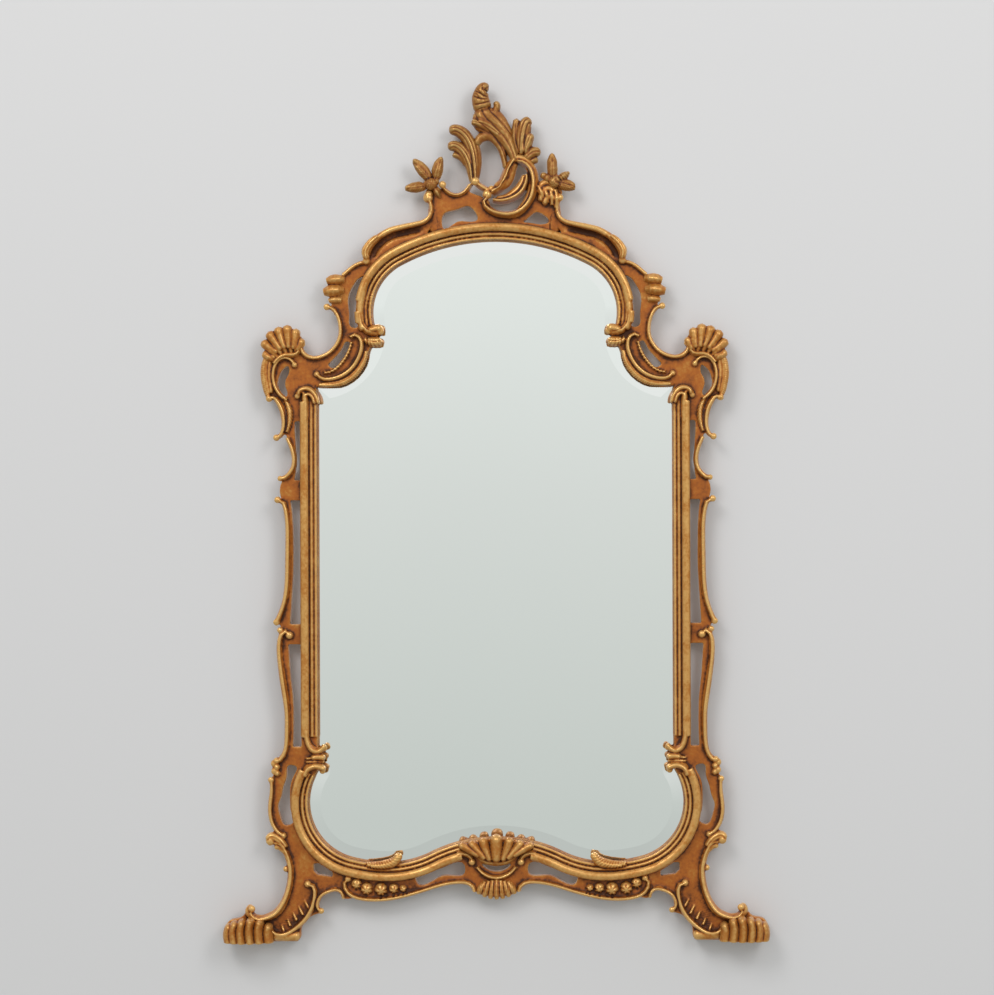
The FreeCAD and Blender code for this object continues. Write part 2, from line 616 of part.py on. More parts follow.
def crest(heads):
    """Base of the asymmetric crest on the back of the arch, with its ring scroll and its coil."""
    base = outline(
        crown([(-90, 5), (-91, 42), (-99, 62), (-108, 71), (-108, 81)]),
        crown([(-82, 81)]),
        crown([(-76, 77), (-65, 71), (-52, 72), (-42, 79)]),
        crown([(-30, 72), (-16, 64), (-14, 54), (-5, 46), (10, 41), (30, 40), (46, 48), (57, 60), (64, 72), (74, 80)]),
        crown([(84, 85), (104, 85)]),
        crown([(108, 72), (99, 58), (92, 45), (91, 5)]),
    )
    left_gap = crown([(-83, 22), (-76, 44), (-60, 48), (-40, 53), (-33, 47), (-27, 32), (-45, 29), (-62, 27)])
    right_gap = crown([(46, 29), (58, 38), (66, 43), (77, 40), (87, 28), (76, 24), (60, 26)])
    carving = crest_strands([
        ([(-11, 66), (-16, 58), (-10, 49), (5, 42), (25, 40), (43, 47), (55, 60), (61, 77), (62, 95), (57, 112),
          (47, 122), (37, 124)], (7, 9, 11, 11, 11, 11, 10, 7), 17, 0),
        ([(52, 104), (50, 89), (42, 75), (28, 66), (12, 62), (-2, 63)], (7, 9, 9, 9, 8), 13, 1),
        ([(-4, 76), (9, 84), (18, 98), (24, 113), (33, 127)], (12, 14, 16, 16, 14), 15, -1),
        ([(-82, 84), (-76, 77), (-65, 71), (-53, 72), (-44, 79), (-38, 88)], (6, 7, 7, 7, 7), 9, 6),
        ([(-41, 88), (-36, 77), (-27, 70), (-14, 66)], (6, 7, 7, 6), 9, 5),
        ([(-34, 94), (-20, 84), (-10, 79), (1, 79)], (7, 9, 9, 7), 10, 4),
    ])
    for x, rise, radius in ((-82, 87, 6), (-30, 92, 7), (-11, 71, 7.5), (-4, 80, 5.5)):
        carving.append(knob(*crown([(x, rise)])[0], radius, 6))
    for i in range(4):
        coil = crown([(70 + 9 * i, 85 - 2 * i), (76 + 8 * i, 73 - 3 * i), (80 + 6 * i, 62 - 4 * i)])
        carving.append(rib(coil, (6, 10, 6), (8, 13, 8)))
    whole = chained([slab([base, loop(left_gap), loop(right_gap)], BACK_Y, FRONT_Y), *carving])
    whole = whole.cut(prism(CREST_SEAT + FIT_GAP, 1.0, -FAR))
    return applied([whole.cut(Part.makeCompound(crest_dowels(HOLE_GAP)))], *heads)


def crest_plume(*seats):
    """Tall plume that bends over the oval opening of the crest."""
    return applied(crest_strands([
        ([(35, 122), (29, 146), (18, 168), (4, 184), (-12, 196)], (14, 22, 28, 28, 18), (12, 15, 18, 19, 17), 0),
        ([(-6, 186), (-18, 202), (-24, 220), (-21, 238)], (18, 20, 18, 10), (17, 17, 16, 13), 2),
        ([(-24, 226), (-16, 240), (-5, 236)], (10, 14, 8), (13, 18, 16), 1),
        ([(-27, 155), (-14, 164), (-3, 162), (8, 154), (14, 138), (17, 120)], (6, 9, 10, 10, 9, 7), 16, 3),
        ([(10, 166), (-4, 177), (-20, 184), (-36, 187)], (12, 17, 15, 6), (16, 21, 20, 15), -2),
        ([(-6, 194), (-4, 206), (3, 215)], (9, 10, 7), (14, 16, 13), 4),
    ]), *seats)


def crest_left_leaf(*seats):
    """Stalk on the left of the oval opening, with three curling leaves."""
    return applied(crest_strands([
        ([(-31, 90), (-26, 112), (-25, 132), (-27, 152)], (8, 10, 10, 8), 9, 0),
        ([(-25, 122), (-33, 142), (-42, 157), (-55, 171), (-70, 175)], (9, 13, 15, 14, 7), (11, 14, 16, 18, 15), 2),
        ([(-25, 106), (-38, 121), (-46, 132), (-57, 143), (-71, 148)], (9, 12, 13, 12, 7), (10, 13, 15, 16, 13), 4),
        ([(-27, 97), (-42, 111), (-53, 124), (-66, 132)], (7, 9, 9, 5), (8, 10, 11, 9), 6),
    ]), *seats)


def crest_right_leaf(*seats):
    """Bundle of five curling leaves on the right of the crest."""
    return applied(crest_strands([
        ([(38, 137), (36, 154), (35, 172), (36, 191)], (10, 13, 13, 7), (12, 14, 15, 12), 1),
        ([(44, 133), (46, 154), (50, 174), (58, 188)], (10, 15, 16, 9), (14, 16, 18, 17), 2),
        ([(46, 124), (50, 146), (61, 163)], (11, 13, 8), (13, 15, 14), 3),
        ([(44, 124), (58, 131), (77, 137)], (10, 13, 7), (12, 15, 11), 4),
        ([(49, 118), (60, 123), (72, 126)], (9, 11, 6), (10, 12, 9), 5),
    ]), *seats)


def applied(solids, *seats):
    """One carving glued on the front of the boards, scribed round what stands up from them."""
    whole = fused(solids)
    for seat in seats:
        whole = whole.cut(seat)
    return max(whole.Solids, key=lambda solid: solid.Volume)


def ear_shell(*seats):
    """Fan of six lobes on the left ear."""
    tips = upper([(85, 53), (82, 68), (74, 80), (62.5, 89), (47.5, 94), (33, 91)])
    roots = upper([(66, 42), (61, 47), (54.5, 51), (46.5, 53), (38.5, 53), (32, 55)])
    band = upper([(67, 37), (59, 46), (48, 51), (37, 51), (27, 57)])
    fan = lobes(tips, roots, 14, 15)
    frill = upper([(25, 81), (31, 72), (33, 60)])
    whole = chained([*fan, rib(band, (7, 10, 10, 9, 6), 12, FRONT_Y), rib(frill, (5, 8, 6), 9, FRONT_Y)])
    return applied([whole], *seats)


def shoulder_knob(*seats):
    """Three plump lobes above the left shoulder scroll."""
    roots = upper([(-46, 171), (-45, 154), (-41, 138)])
    tips = upper([(-17, 168), (-12, 150.5), (-20, 137)])
    fan = [rib([root, ((root[0] + tip[0]) / 2, (root[1] + tip[1]) / 2 + 1), tip], (9, wide, wide * 1.1, wide * 0.6),
               (6, rise, rise, rise * 0.6), FRONT_Y) for root, tip, wide, rise in
           zip(roots, tips, (16, 18, 11), (15, 17, 10))]
    return applied(fan, *seats)


def toe(*seats):
    """Scalloped block that ends the left foot: six upright flutes, rounded over at the top."""
    waists = [(150, 16), (140, 24), (128, 29), (115, 31), (101, 30), (87, 25), (73, 15)]
    front = []
    for (u0, rise0), (u1, rise1) in zip(waists, waists[1:]):
        bulge = (rise0 + rise1) / 2 + 5
        spots = [Vector(-(SIGHT_HALF + u), FRONT_Y - rise, -HANG_Z)
                 for u, rise in ((u0, rise0), ((u0 + u1) / 2, bulge), (u1, rise1))]
        front.append(Part.Arc(*spots).toShape())
    ends = [Vector(-(SIGHT_HALF + u), FRONT_Y, -HANG_Z) for u in (waists[-1][0], waists[0][0])]
    front.append(Part.makeLine(front[-1].Vertexes[-1].Point, ends[0]))
    front.append(Part.makeLine(*ends))
    front.append(Part.makeLine(ends[1], front[0].Vertexes[0].Point))
    flutes = Part.Face(Part.Wire(Part.__sortEdges__(front))).extrude(Vector(0, 0, 60))
    top = outline(side([(151, 0), (151.5, 14), (150, 26), (142, 34)]), side([(124, 38), (110, 42), (98, 40)]),
                  side([(84, 32), (74, 20), (72, 0)]))
    sight = slab([top], FRONT_Y + 5, FRONT_Y - 60)
    lean = Part.Face(Part.Wire([
        Part.makeLine(place(0, FRONT_Y + 5, 0), place(0, FRONT_Y - 40, 0)),
        Part.Arc(place(0, FRONT_Y - 40, 0), place(0, FRONT_Y - 30, 31), place(0, FRONT_Y + 5, 46)).toShape(),
        Part.makeLine(place(0, FRONT_Y + 5, 46), place(0, FRONT_Y + 5, 0)),
    ])).extrude(Vector(-FAR, 0, 0))
    return applied([flutes.common(sight).common(lean)], *seats)


def flower_spray(petals, berries, *seats):
    """Leaves and berries at one end of the crest."""
    parts = []
    for root, tip, wide in petals:
        middle = ((root[0] + tip[0]) / 2, (root[1] + tip[1]) / 2)
        parts.append(rib(crown([root, middle, tip]), (wide * 0.5, wide, wide * 0.9, wide * 0.25),
                         (6, 12, 12, 5), FRONT_Y))
    for x, rise, radius in berries:
        spot = place(x, FRONT_Y - radius / 2, CROWN_Z + rise)
        parts.append(Part.makeSphere(radius, spot, Vector(0, -1, 0), -30, 90, 360))
    return applied(parts, *seats)


def sill_shell(seat):
    """Shell on the middle of the bottom rail, rising in front of the glass."""
    tips = [(0, 166), (21, 163), (35, 159.5), (48, 157), (61, 154)]
    roots = [(0, 124), (10, 125), (15, 128), (21, 132), (29, 137)]
    wide = (23, 16, 13, 12, 10)
    tall = (17, 14, 12, 10, 8)
    fan = []
    for tip, root, width, rise in zip(tips, roots, wide, tall):
        fan += lobes([tip], [root], width, rise)
        if tip[0]:
            fan += lobes(flip([tip]), flip([root]), width, rise)
    collar = [(-30, 136), (-18, 127), (0, 124.5), (18, 127), (30, 136)]
    return applied([*fan, rib(collar, (6, 9, 10, 9, 6), 9, FRONT_Y)], seat)


def apron_shell(seat):
    """Drooping shell under the middle of the bottom rail."""
    tips = [(0, 66), (10, 67), (20, 70), (30, 75)]
    roots = [(0, 98), (6, 97), (12, 96), (18, 95)]
    fan = []
    for tip, root in zip(tips, roots):
        fan += lobes([tip], [root], 11, 10)
        if tip[0]:
            fan += lobes(flip([tip]), flip([root]), 11, 10)
    return applied(fan, seat)


# Joinery and hardware


def pin(x, y, z, axis, radius, length):
    """A round peg centred on a point."""
    start = place(x, y, z) - axis * (length / 2)
    return Part.makeCylinder(radius, length, start, axis)


def joint_dowels(gap=0.0):
    """Dowels of the left half's joints; with a gap, their holes."""
    middle = BACK_Y - BOARD_THICK / 2
    up = Vector(0, 0, 1)
    across = Vector(1, 0, 0)
    spots = [
        (0, CROWN_Z + (REBATE_WIDTH + CREST_SEAT) / 2, across),
        (-(ARCH_HALF + 15), HEAD_JOINT_Z, up),
        (-(SIGHT_HALF - 38), HEAD_JOINT_Z, up),
        (-(SIGHT_HALF + 15), SHOULDER_Z, up),
        (-(SIGHT_HALF + 36), SHOULDER_Z, up),
        (-(SIGHT_HALF + 15), FOOT_JOINT_Z, up),
        (-(SIGHT_HALF + 45), FOOT_JOINT_Z, up),
        (-RAIL_JOINT, 93, across),
    ]
    return [pin(x, middle, z, axis, DOWEL_R + gap, DOWEL_LENGTH + 10 * gap) for x, z, axis in spots]


def dowel_holes():
    """Holes for the left half's dowels and for the crest's."""
    return [*joint_dowels(HOLE_GAP), *crest_dowels(HOLE_GAP)]


def crest_dowels(gap=0.0):
    """Dowels that stand up from the head into the crest; with a gap, their holes."""
    centre, radius, first, last = ARCS["crown"]
    pins = []
    for x in (-20.5, 20.5):
        top = centre[1] + math.sqrt((radius + CREST_SEAT) ** 2 - x ** 2)
        pins.append(pin(x, BACK_Y - BOARD_THICK / 2, top, Vector(0, 0, 1), DOWEL_R + gap, 24 + 10 * gap))
    return pins


def screw(spot, gap=0.0):
    """A pan-head wood screw driven towards the front, its head seated at the spot; with a gap, its hole."""
    shank = Part.makeCylinder(SCREW_R + gap, SCREW_LENGTH + 10 * gap, spot, Vector(0, -1, 0))
    if gap:
        return shank
    head = Part.makeCylinder(SCREW_HEAD_R, SCREW_HEAD_TALL, spot, Vector(0, 1, 0))
    slot = Part.makeBox(2 * SCREW_HEAD_R, 0.7, 0.8, spot + Vector(-SCREW_HEAD_R, SCREW_HEAD_TALL - 0.7, -0.4))
    return shank.fuse(head).cut(slot)


def backboard_spots():
    """Places of the backboard's screws on the left half."""
    reach = (REBATE_WIDTH + BACKBOARD_LAP) / 2
    stile = -(SIGHT_HALF + reach)
    levels = (FOOT_JOINT_Z + 48, BRIDGE_LOW_Z - 20, BRIDGE_LOW_Z + 90, BRIDGE_HIGH_Z, SHOULDER_Z - 50)
    spots = [(stile, z) for z in levels]
    for name, degrees, sign in (("crown", 101, 1), ("crown", 115, 1), ("arch_side", 145, 1), ("corner", 175, 1),
                                ("corner", 215, 1), ("dip_left", 262, 1), ("dip_right", 285, 1), ("rise", 98, -1)):
        centre, radius, first, last = ARCS[name]
        spots.append(polar(centre, radius + sign * reach, degrees))
    rear = BACK_Y + BACKBOARD_THICK
    return [place(x, rear, z) for x, z in spots]


def hanger_spots():
    """Places of the two screws of the left hanger."""
    x = -(SIGHT_HALF + HANGER_U)
    return [place(x, BACK_Y + STRAP_THICK, RING_AXIS_Z - drop) for drop in (7.5, 20.5)]


def hanger_holes():
    """Pilot holes for the left hanger's screws."""
    return [screw(spot, HOLE_GAP) for spot in hanger_spots()]


def hanger_axis():
    """Middle of the left ring's pivot."""
    bore = RING_WIRE_R + RING_GAP
    return place(-(SIGHT_HALF + HANGER_U), BACK_Y + bore + STRAP_THICK, RING_AXIS_Z)


def hanger_strap():
    """Left hanger plate with the rolled knuckle that holds the ring."""
    axis = hanger_axis()
    half = STRAP_WIDTH / 2
    bore = RING_WIRE_R + RING_GAP
    start = axis - Vector(half, 0, 0)
    across = Vector(1, 0, 0)
    plate = Part.makeBox(STRAP_WIDTH, STRAP_THICK, STRAP_LENGTH,
                         Vector(start.x, BACK_Y, axis.z - STRAP_LENGTH))
    knuckle = Part.makeCylinder(bore + STRAP_THICK, STRAP_WIDTH, start, across)
    hole = Part.makeCylinder(bore, STRAP_WIDTH, start, across)
    strap = plate.fuse(knuckle).cut(hole)
    for spot in hanger_spots():
        strap = strap.cut(pin(spot.x, spot.y, spot.z + HANG_Z, Vector(0, 1, 0), SCREW_R + HOLE_GAP, 8))
    return strap.Solids[0]


def hanger_ring():
    """Left D ring: a straight bar in the knuckle and a round bow above it."""
    axis = hanger_axis()
    rise = RING_INSIDE - RING_HALF
    across = Vector(1, 0, 0)
    left = axis - across * RING_HALF
    right = axis + across * RING_HALF
    up = Vector(0, 0, 1)
    bow = Part.makeTorus(RING_HALF, RING_WIRE_R, axis + up * rise, Vector(0, -1, 0))
    bow = bow.cut(Part.makeBox(60, 60, 60, axis + Vector(-30, -30, rise - 60)))
    parts = [bow, Part.makeCylinder(RING_WIRE_R, 2 * RING_HALF, left, across)]
    for corner in (left, right):
        parts.append(Part.makeCylinder(RING_WIRE_R, rise, corner, up))
        parts.append(Part.makeSphere(RING_WIRE_R, corner))
    return fused(parts)


def wall_pads():
    """Felt pads of the left half."""
    spots = [*upper([(0, 27)]), *side([(21, 80)])]
    return [Part.makeCylinder(PAD_R, PAD_THICK, place(x, BACK_Y, z), Vector(0, 1, 0)) for x, z in spots]


# Glass and backing


def mirror_plate():
    """Bevelled glass that follows the sight line."""
    reach = REBATE_WIDTH - GLASS_GAP
    front = LIP_Y + TAPE_THICK + TAPE_GAP
    back = front + GLASS_RIM
    rims = [around_glass(reach, back), around_glass(reach, front),
            around_glass(reach - BEVEL_WIDTH, back - GLASS_THICK)]
    return Part.makeLoft(rims, True, True)


def seat_tape():
    """Felt strip between the lip of the rebate and the rim of the glass."""
    reach = REBATE_WIDTH - GLASS_GAP
    outer = prism(reach - 1, LIP_Y + TAPE_THICK, LIP_Y)
    return outer.cut(prism(reach - 1 - TAPE_WIDTH, 1, -FAR))


def backing_felt():
    """Soft sheet between the glass and the backboard."""
    reach = REBATE_WIDTH - GLASS_GAP
    front = LIP_Y + TAPE_THICK + TAPE_GAP + GLASS_RIM + FIT_GAP
    return prism(reach, front + FELT_THICK, front)


def backboard():
    """Plywood sheet screwed over the back."""
    sheet = prism(BACKBOARD_LAP, BACK_Y + BACKBOARD_THICK, BACK_Y)
    spots = backboard_spots()
    holes = [screw(spot, HOLE_GAP) for spot in spots]
    holes += [mirrored(hole) for hole in holes]
    return sheet.cut(Part.makeCompound(holes))


def drilled(shape, spots):
    """A frame board with the pilot holes of the backboard's screws."""
    holes = [screw(spot, HOLE_GAP) for spot in spots]
    return shape.cut(Part.makeCompound(holes)).Solids[0]


def pair(name, shape, parts):
    """A left piece and its mirror image."""
    parts["left_" + name] = shape
    parts["right_" + name] = mirrored(shape)


def build():
    """Every piece by name."""
    parts = {}
    spots = backboard_spots()
    head = drilled(left_head(), spots)
    shoulder = drilled(left_shoulder(), spots)
    stile = drilled(left_stile(), spots)
    foot = drilled(left_foot(), spots)
    both = [*spots, *[Vector(-spot.x, spot.y, spot.z) for spot in spots]]
    rail = drilled(bottom_rail(), both)
    pair("head", head, parts)
    pair("shoulder", shoulder, parts)
    pair("stile", stile, parts)
    pair("foot", foot, parts)
    parts["bottom_rail"] = rail
    parts["crest"] = crest([head, parts["right_head"]])
    parts["crest_plume"] = crest_plume(parts["crest"])
    parts["crest_left_leaf"] = crest_left_leaf(parts["crest"], parts["crest_plume"])
    parts["crest_right_leaf"] = crest_right_leaf(parts["crest"], parts["crest_plume"])
    pair("ear_shell", ear_shell(shoulder, stile), parts)
    pair("shoulder_knob", shoulder_knob(head, shoulder), parts)
    pair("toe", toe(foot), parts)
    parts["left_flower"] = flower_spray(
        [((-100, 92), (-129, 124), 15), ((-94, 92), (-84, 129), 17), ((-107, 85), (-142, 80), 17),
         ((-96, 84), (-86, 66), 10)],
        [(-100, 88, 10), (-106, 88, 7), (-94, 92, 7), (-91, 78, 6)], parts["crest"], head)
    parts["right_flower"] = flower_spray(
        [((93, 92), (93, 132), 18), ((100, 88), (129, 80), 16), ((102, 93), (120, 107), 14)],
        [(96, 91, 10), (86, 96, 7), (98, 96, 7), (79, 101, 5.5)], parts["crest"], parts["right_head"])
    parts["sill_shell"] = sill_shell(rail)
    parts["apron_shell"] = apron_shell(rail)
    parts["mirror_plate"] = mirror_plate()
    parts["seat_tape"] = seat_tape()
    parts["backing_felt"] = backing_felt()
    parts["backboard"] = backboard()
    dowels = joint_dowels()
    parts["joint_dowels"] = Part.makeCompound([*dowels, *[mirrored(dowel) for dowel in dowels[1:]]])
    parts["crest_dowels"] = Part.makeCompound(crest_dowels())
    screws = [screw(spot) for spot in spots]
    parts["backboard_screws"] = Part.makeCompound([*screws, *[mirrored(shape) for shape in screws]])
    screws = [screw(spot) for spot in hanger_spots()]
    parts["hanger_screws"] = Part.makeCompound([*screws, *[mirrored(shape) for shape in screws]])
    pair("hanger_strap", hanger_strap(), parts)
    pair("hanger_ring", hanger_ring(), parts)
    pads = wall_pads()
    parts["wall_pads"] = Part.makeCompound([*pads, *[mirrored(pad) for pad in pads]])
    return parts


os.makedirs("parts", exist_ok=True)
for name, shape in build().items():
    shape.exportStep("parts/" + name + ".step")
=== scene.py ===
import math

import bmesh
import bpy
import numpy as np
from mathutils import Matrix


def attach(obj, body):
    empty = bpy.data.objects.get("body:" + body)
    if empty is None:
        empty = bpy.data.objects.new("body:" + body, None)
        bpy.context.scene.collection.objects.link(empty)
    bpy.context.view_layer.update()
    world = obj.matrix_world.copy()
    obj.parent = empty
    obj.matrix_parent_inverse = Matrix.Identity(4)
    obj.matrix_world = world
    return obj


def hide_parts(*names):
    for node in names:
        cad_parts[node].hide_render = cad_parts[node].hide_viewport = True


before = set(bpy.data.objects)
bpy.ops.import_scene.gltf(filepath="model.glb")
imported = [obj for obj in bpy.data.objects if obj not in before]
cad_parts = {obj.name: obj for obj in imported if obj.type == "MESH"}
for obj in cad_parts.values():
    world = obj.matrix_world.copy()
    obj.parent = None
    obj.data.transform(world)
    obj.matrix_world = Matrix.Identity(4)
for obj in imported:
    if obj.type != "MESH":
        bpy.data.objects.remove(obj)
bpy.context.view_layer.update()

bl_info = {
    "name": "Giltwood mirror",
    "version": (1, 0, 0),
    "blender": (4, 5, 0),
    "location": "3D View > Sidebar > Mirror",
    "description": "Carved and gilt dress for a pierced wall mirror",
    "category": "Object",
}

MM = 0.001
MICRON = 1e-6
PER_METRE = 1e6
TINY = 1e-9

# Height of the hooks above the soles and faces of the boards, in millimetres
HANG_Z = 922.5
FRONT_Y = -24.0
BACK_Y = -6.0

# Joints of the boards and the crest's seat, up from the soles or out from the middle
HEAD_JOINT_Z = 1021.0
SHOULDER_Z = 884.0
FOOT_JOINT_Z = 296.0
RAIL_JOINT = 256.0
JOINT_NEAR = 2.0
CROWN_CENTRE_Z = 796.48
CREST_SEAT_R = 347.52
CREST_LIFT = 1.0
CREST_FOOT = 95.5
CREST_NECK_Z = 1166.0

# Strands and the lines they follow
ARCH_SIDE = (-109.0, 1003.0)
ARCH_SIDE_R = 88.0
SIDES = 20
SPLINE_STEPS = 8
FLUTE_SHARE = 0.14

# How a skin is smoothed, and how its ridges and hollows turn into wear and, at the broad scale, into
# painted shade and light
UNSHRINK = -0.45
GESSO = 0.4
NEAR_PASSES = 8
WIDE_PASSES = 50
FINE_RUB = 1.1
# Weight of the broad hollows and swells: painted shade in broad recesses and painted light on broad swells
BROAD_PAINTED_SHADE = 0.13
MIDDLE_RUB = 0.48
# Darkening of the hollows: real glaze in fine hollows and painted shade in broad ones
HOLLOW_GLAZE_AND_SHADE = 1.25
FLAT_NEAR = 0.5
FLAT_FACING = -0.93

# Tones of the gilding
BOARD_TONE = 1.0
ORNAMENT_TONE = 0.95
CREST_TONE = 0.66

# Stage, in metres and watts; lamps have a place, a point that they face, a size and a power
WALL_Y = 0.0005
ROOM_HALF = 6
ROOM_TOP = 5
ROOM_FRONT = -8
ROOM_BACK = 6
LAMPS = {
    "key": ((-1.6, -3.1, 2.3), (0, 0, -0.2), (1.6, 1.6), 60),
    "fill": ((2.1, -3.0, 1.5), (0, 0, -0.3), (1.2, 2.0), 42),
}
SKY_REACH = 0.35
SKY = [(0.0, (0.53, 0.56, 0.54)), (0.34, (0.61, 0.65, 0.625)), (0.5, (0.73, 0.76, 0.74)),
       (0.63, (0.85, 0.89, 0.87)), (1.0, (0.88, 0.88, 0.88))]
SENSOR = 36.0
GLASS_OUT = 0.012
MIDDLE_X = 0.0024


# Sizes and colours

COLOUR = {"subtype": "COLOR", "size": 3}


class MirrorCarving(bpy.types.PropertyGroup):
    """How finely and how deeply the wood is carved."""

    board_cell: bpy.props.FloatProperty(
        name="Board cell", description="Grid cell of the frame boards' skin",
        default=0.00118, unit="LENGTH")
    ornament_cell: bpy.props.FloatProperty(
        name="Ornament cell", description="Grid cell of the small ornaments' skin",
        default=0.0008, unit="LENGTH")
    crest_cell: bpy.props.FloatProperty(
        name="Crest cell", description="Grid cell of the crest's skin", default=0.0009, unit="LENGTH")
    depth: bpy.props.FloatProperty(
        name="Depth", description="Depth of the carver's cuts, as a share of the drawn depth", default=1.0)


class MirrorFinish(bpy.types.PropertyGroup):
    """Colours of the gilding, the glass and the back."""

    leaf: bpy.props.FloatVectorProperty(
        name="Rubbed leaf", description="Gold leaf on the ridges",
        **COLOUR, default=(0.65, 0.375, 0.125))
    gold: bpy.props.FloatVectorProperty(
        name="Gold", description="Gold leaf on the slopes",
        **COLOUR, default=(0.42, 0.168, 0.031))
    bole: bpy.props.FloatVectorProperty(
        name="Bole", description="Clay ground that shows through the leaf",
        **COLOUR, default=(0.35, 0.095, 0.011))
    # Darkest colour of the gilding: real glaze in fine hollows, also painted shade in broad recesses
    glaze_and_shade: bpy.props.FloatVectorProperty(
        name="Glaze", description="Dark glaze left in the hollows",
        **COLOUR, default=(0.050, 0.014, 0.004))
    silver: bpy.props.FloatVectorProperty(
        name="Silver", description="Tint of the silvered glass",
        **COLOUR, default=(0.90, 0.91, 0.895))
    ply: bpy.props.FloatVectorProperty(
        name="Plywood", description="Colour of the backboard",
        **COLOUR, default=(0.50, 0.34, 0.19))
    brass: bpy.props.FloatVectorProperty(
        name="Brass", description="Colour of the hanging rings",
        **COLOUR, default=(0.66, 0.49, 0.20))


class MirrorStage(bpy.types.PropertyGroup):
    """Wall, floor, light and camera."""

    wall: bpy.props.FloatVectorProperty(
        name="Wall", description="Colour of the wall and the floor",
        **COLOUR, default=(0.585, 0.575, 0.58))
    floor_drop: bpy.props.FloatProperty(
        name="Floor drop", description="Height of the soles above the floor", default=0.32, unit="LENGTH")
    distance: bpy.props.FloatProperty(
        name="Distance", description="From the camera to the wall", default=4.6, unit="LENGTH")
    view_width: bpy.props.FloatProperty(
        name="View width", description="Width of the picture on the plane of the glass",
        default=1.5904, unit="LENGTH")
    aside: bpy.props.FloatProperty(
        name="Aside", description="How far the camera stands to the right of the mirror",
        default=0.16, unit="LENGTH")
    eye_z: bpy.props.FloatProperty(
        name="Eye height", description="Height of the camera above the soles",
        default=0.706, unit="LENGTH")
    roll: bpy.props.FloatProperty(
        name="Roll", description="Turn of the camera about its line of sight",
        default=math.radians(0.2), subtype="ANGLE")


# Shader maths


class Val:
    """A number that changes over a surface, written as Python arithmetic."""

    def __init__(self, finish, socket):
        self.finish = finish
        self.socket = socket

    def math(self, operation, other):
        return self.finish.node("ShaderNodeMath", {"operation": operation}, {0: self, 1: other})

    def __add__(self, other):
        return self.math("ADD", other)

    def __mul__(self, other):
        return self.math("MULTIPLY", other)

    def __sub__(self, other):
        return self.math("SUBTRACT", other)

    def __rsub__(self, other):
        return (self * -1.0) + other

    def clipped(self):
        """The value held between nought and one."""
        return self.finish.node("ShaderNodeClamp", {}, {"Value": self})

    def between(self, low, high):
        """Nought below low, one above high and smooth in the middle."""
        return self.finish.node("ShaderNodeMapRange", {"interpolation_type": "SMOOTHSTEP"},
                                {"Value": self, "From Min": low, "From Max": high})


def set_stops(ramp, stops):
    """Gives a colour ramp its stops."""
    while len(ramp.elements) < len(stops):
        ramp.elements.new(0.5)
    for element, (spot, colour) in zip(ramp.elements, stops):
        element.position = spot
        element.color = (*colour, 1.0)


class Finish:
    """One material and the nodes that make it."""

    def __init__(self, name):
        self.material = bpy.data.materials.new(name)
        self.material.use_nodes = True
        self.tree = self.material.node_tree
        self.shader = self.tree.nodes["Principled BSDF"]
        self.place = self.node("ShaderNodeTexCoord", {}, {}, "Object")

    def node(self, kind, settings, values, output=0):
        """Adds a node: its settings first, then the values or links of its sockets."""
        made = self.tree.nodes.new(kind)
        for name, value in settings.items():
            if name == "stops":
                set_stops(made.color_ramp, value)
            else:
                setattr(made, name, value)
        for name, value in values.items():
            self.fill(made.inputs[name], value)
        return Val(self, made.outputs[output])

    def fill(self, socket, value):
        """Links a value to a socket, or sets the socket."""
        if isinstance(value, Val):
            self.tree.links.new(value.socket, socket)
        elif hasattr(value, "__len__") and len(value) == 3 and socket.type == "RGBA":
            socket.default_value = (*value, 1.0)
        else:
            socket.default_value = value

    def set(self, **values):
        """Fills sockets of the surface shader; an underscore stands for a space."""
        for name, value in values.items():
            self.fill(self.shader.inputs[name.replace("_", " ")], value)

    def attribute(self, name):
        """A number stored at each vertex."""
        return self.node("ShaderNodeAttribute", {"attribute_name": name}, {}, "Fac")

    def noise(self, scale, detail=3.0, rough=0.55, stretch=None):
        """Soft noise on the object's own place, centred on a half; stretch scales the three directions."""
        place = self.place
        if stretch:
            place = self.node("ShaderNodeMapping", {}, {"Vector": place, "Scale": stretch})
        return self.node("ShaderNodeTexNoise", {}, {
            "Vector": place, "Scale": scale, "Detail": detail, "Roughness": rough}, "Fac")

    def mix(self, share, first, second):
        """A colour part way between two."""
        return self.node("ShaderNodeMix", {"data_type": "RGBA"}, {0: share, 6: first, 7: second}, 2)

    def ramp(self, value, stops):
        """Colours along a value."""
        return self.node("ShaderNodeValToRGB", {"stops": stops}, {0: value})

    def bump(self, height, strength, distance):
        """A normal tilted by the slope of a height."""
        return self.node("ShaderNodeBump", {}, {
            "Strength": strength, "Distance": distance, "Height": height})


def blend(first, second, share):
    """A plain mix of two colours."""
    return tuple(a + (b - a) * share for a, b in zip(first, second))


def shade_of(colour, share):
    """A colour made darker or lighter."""
    return tuple(value * share for value in colour)


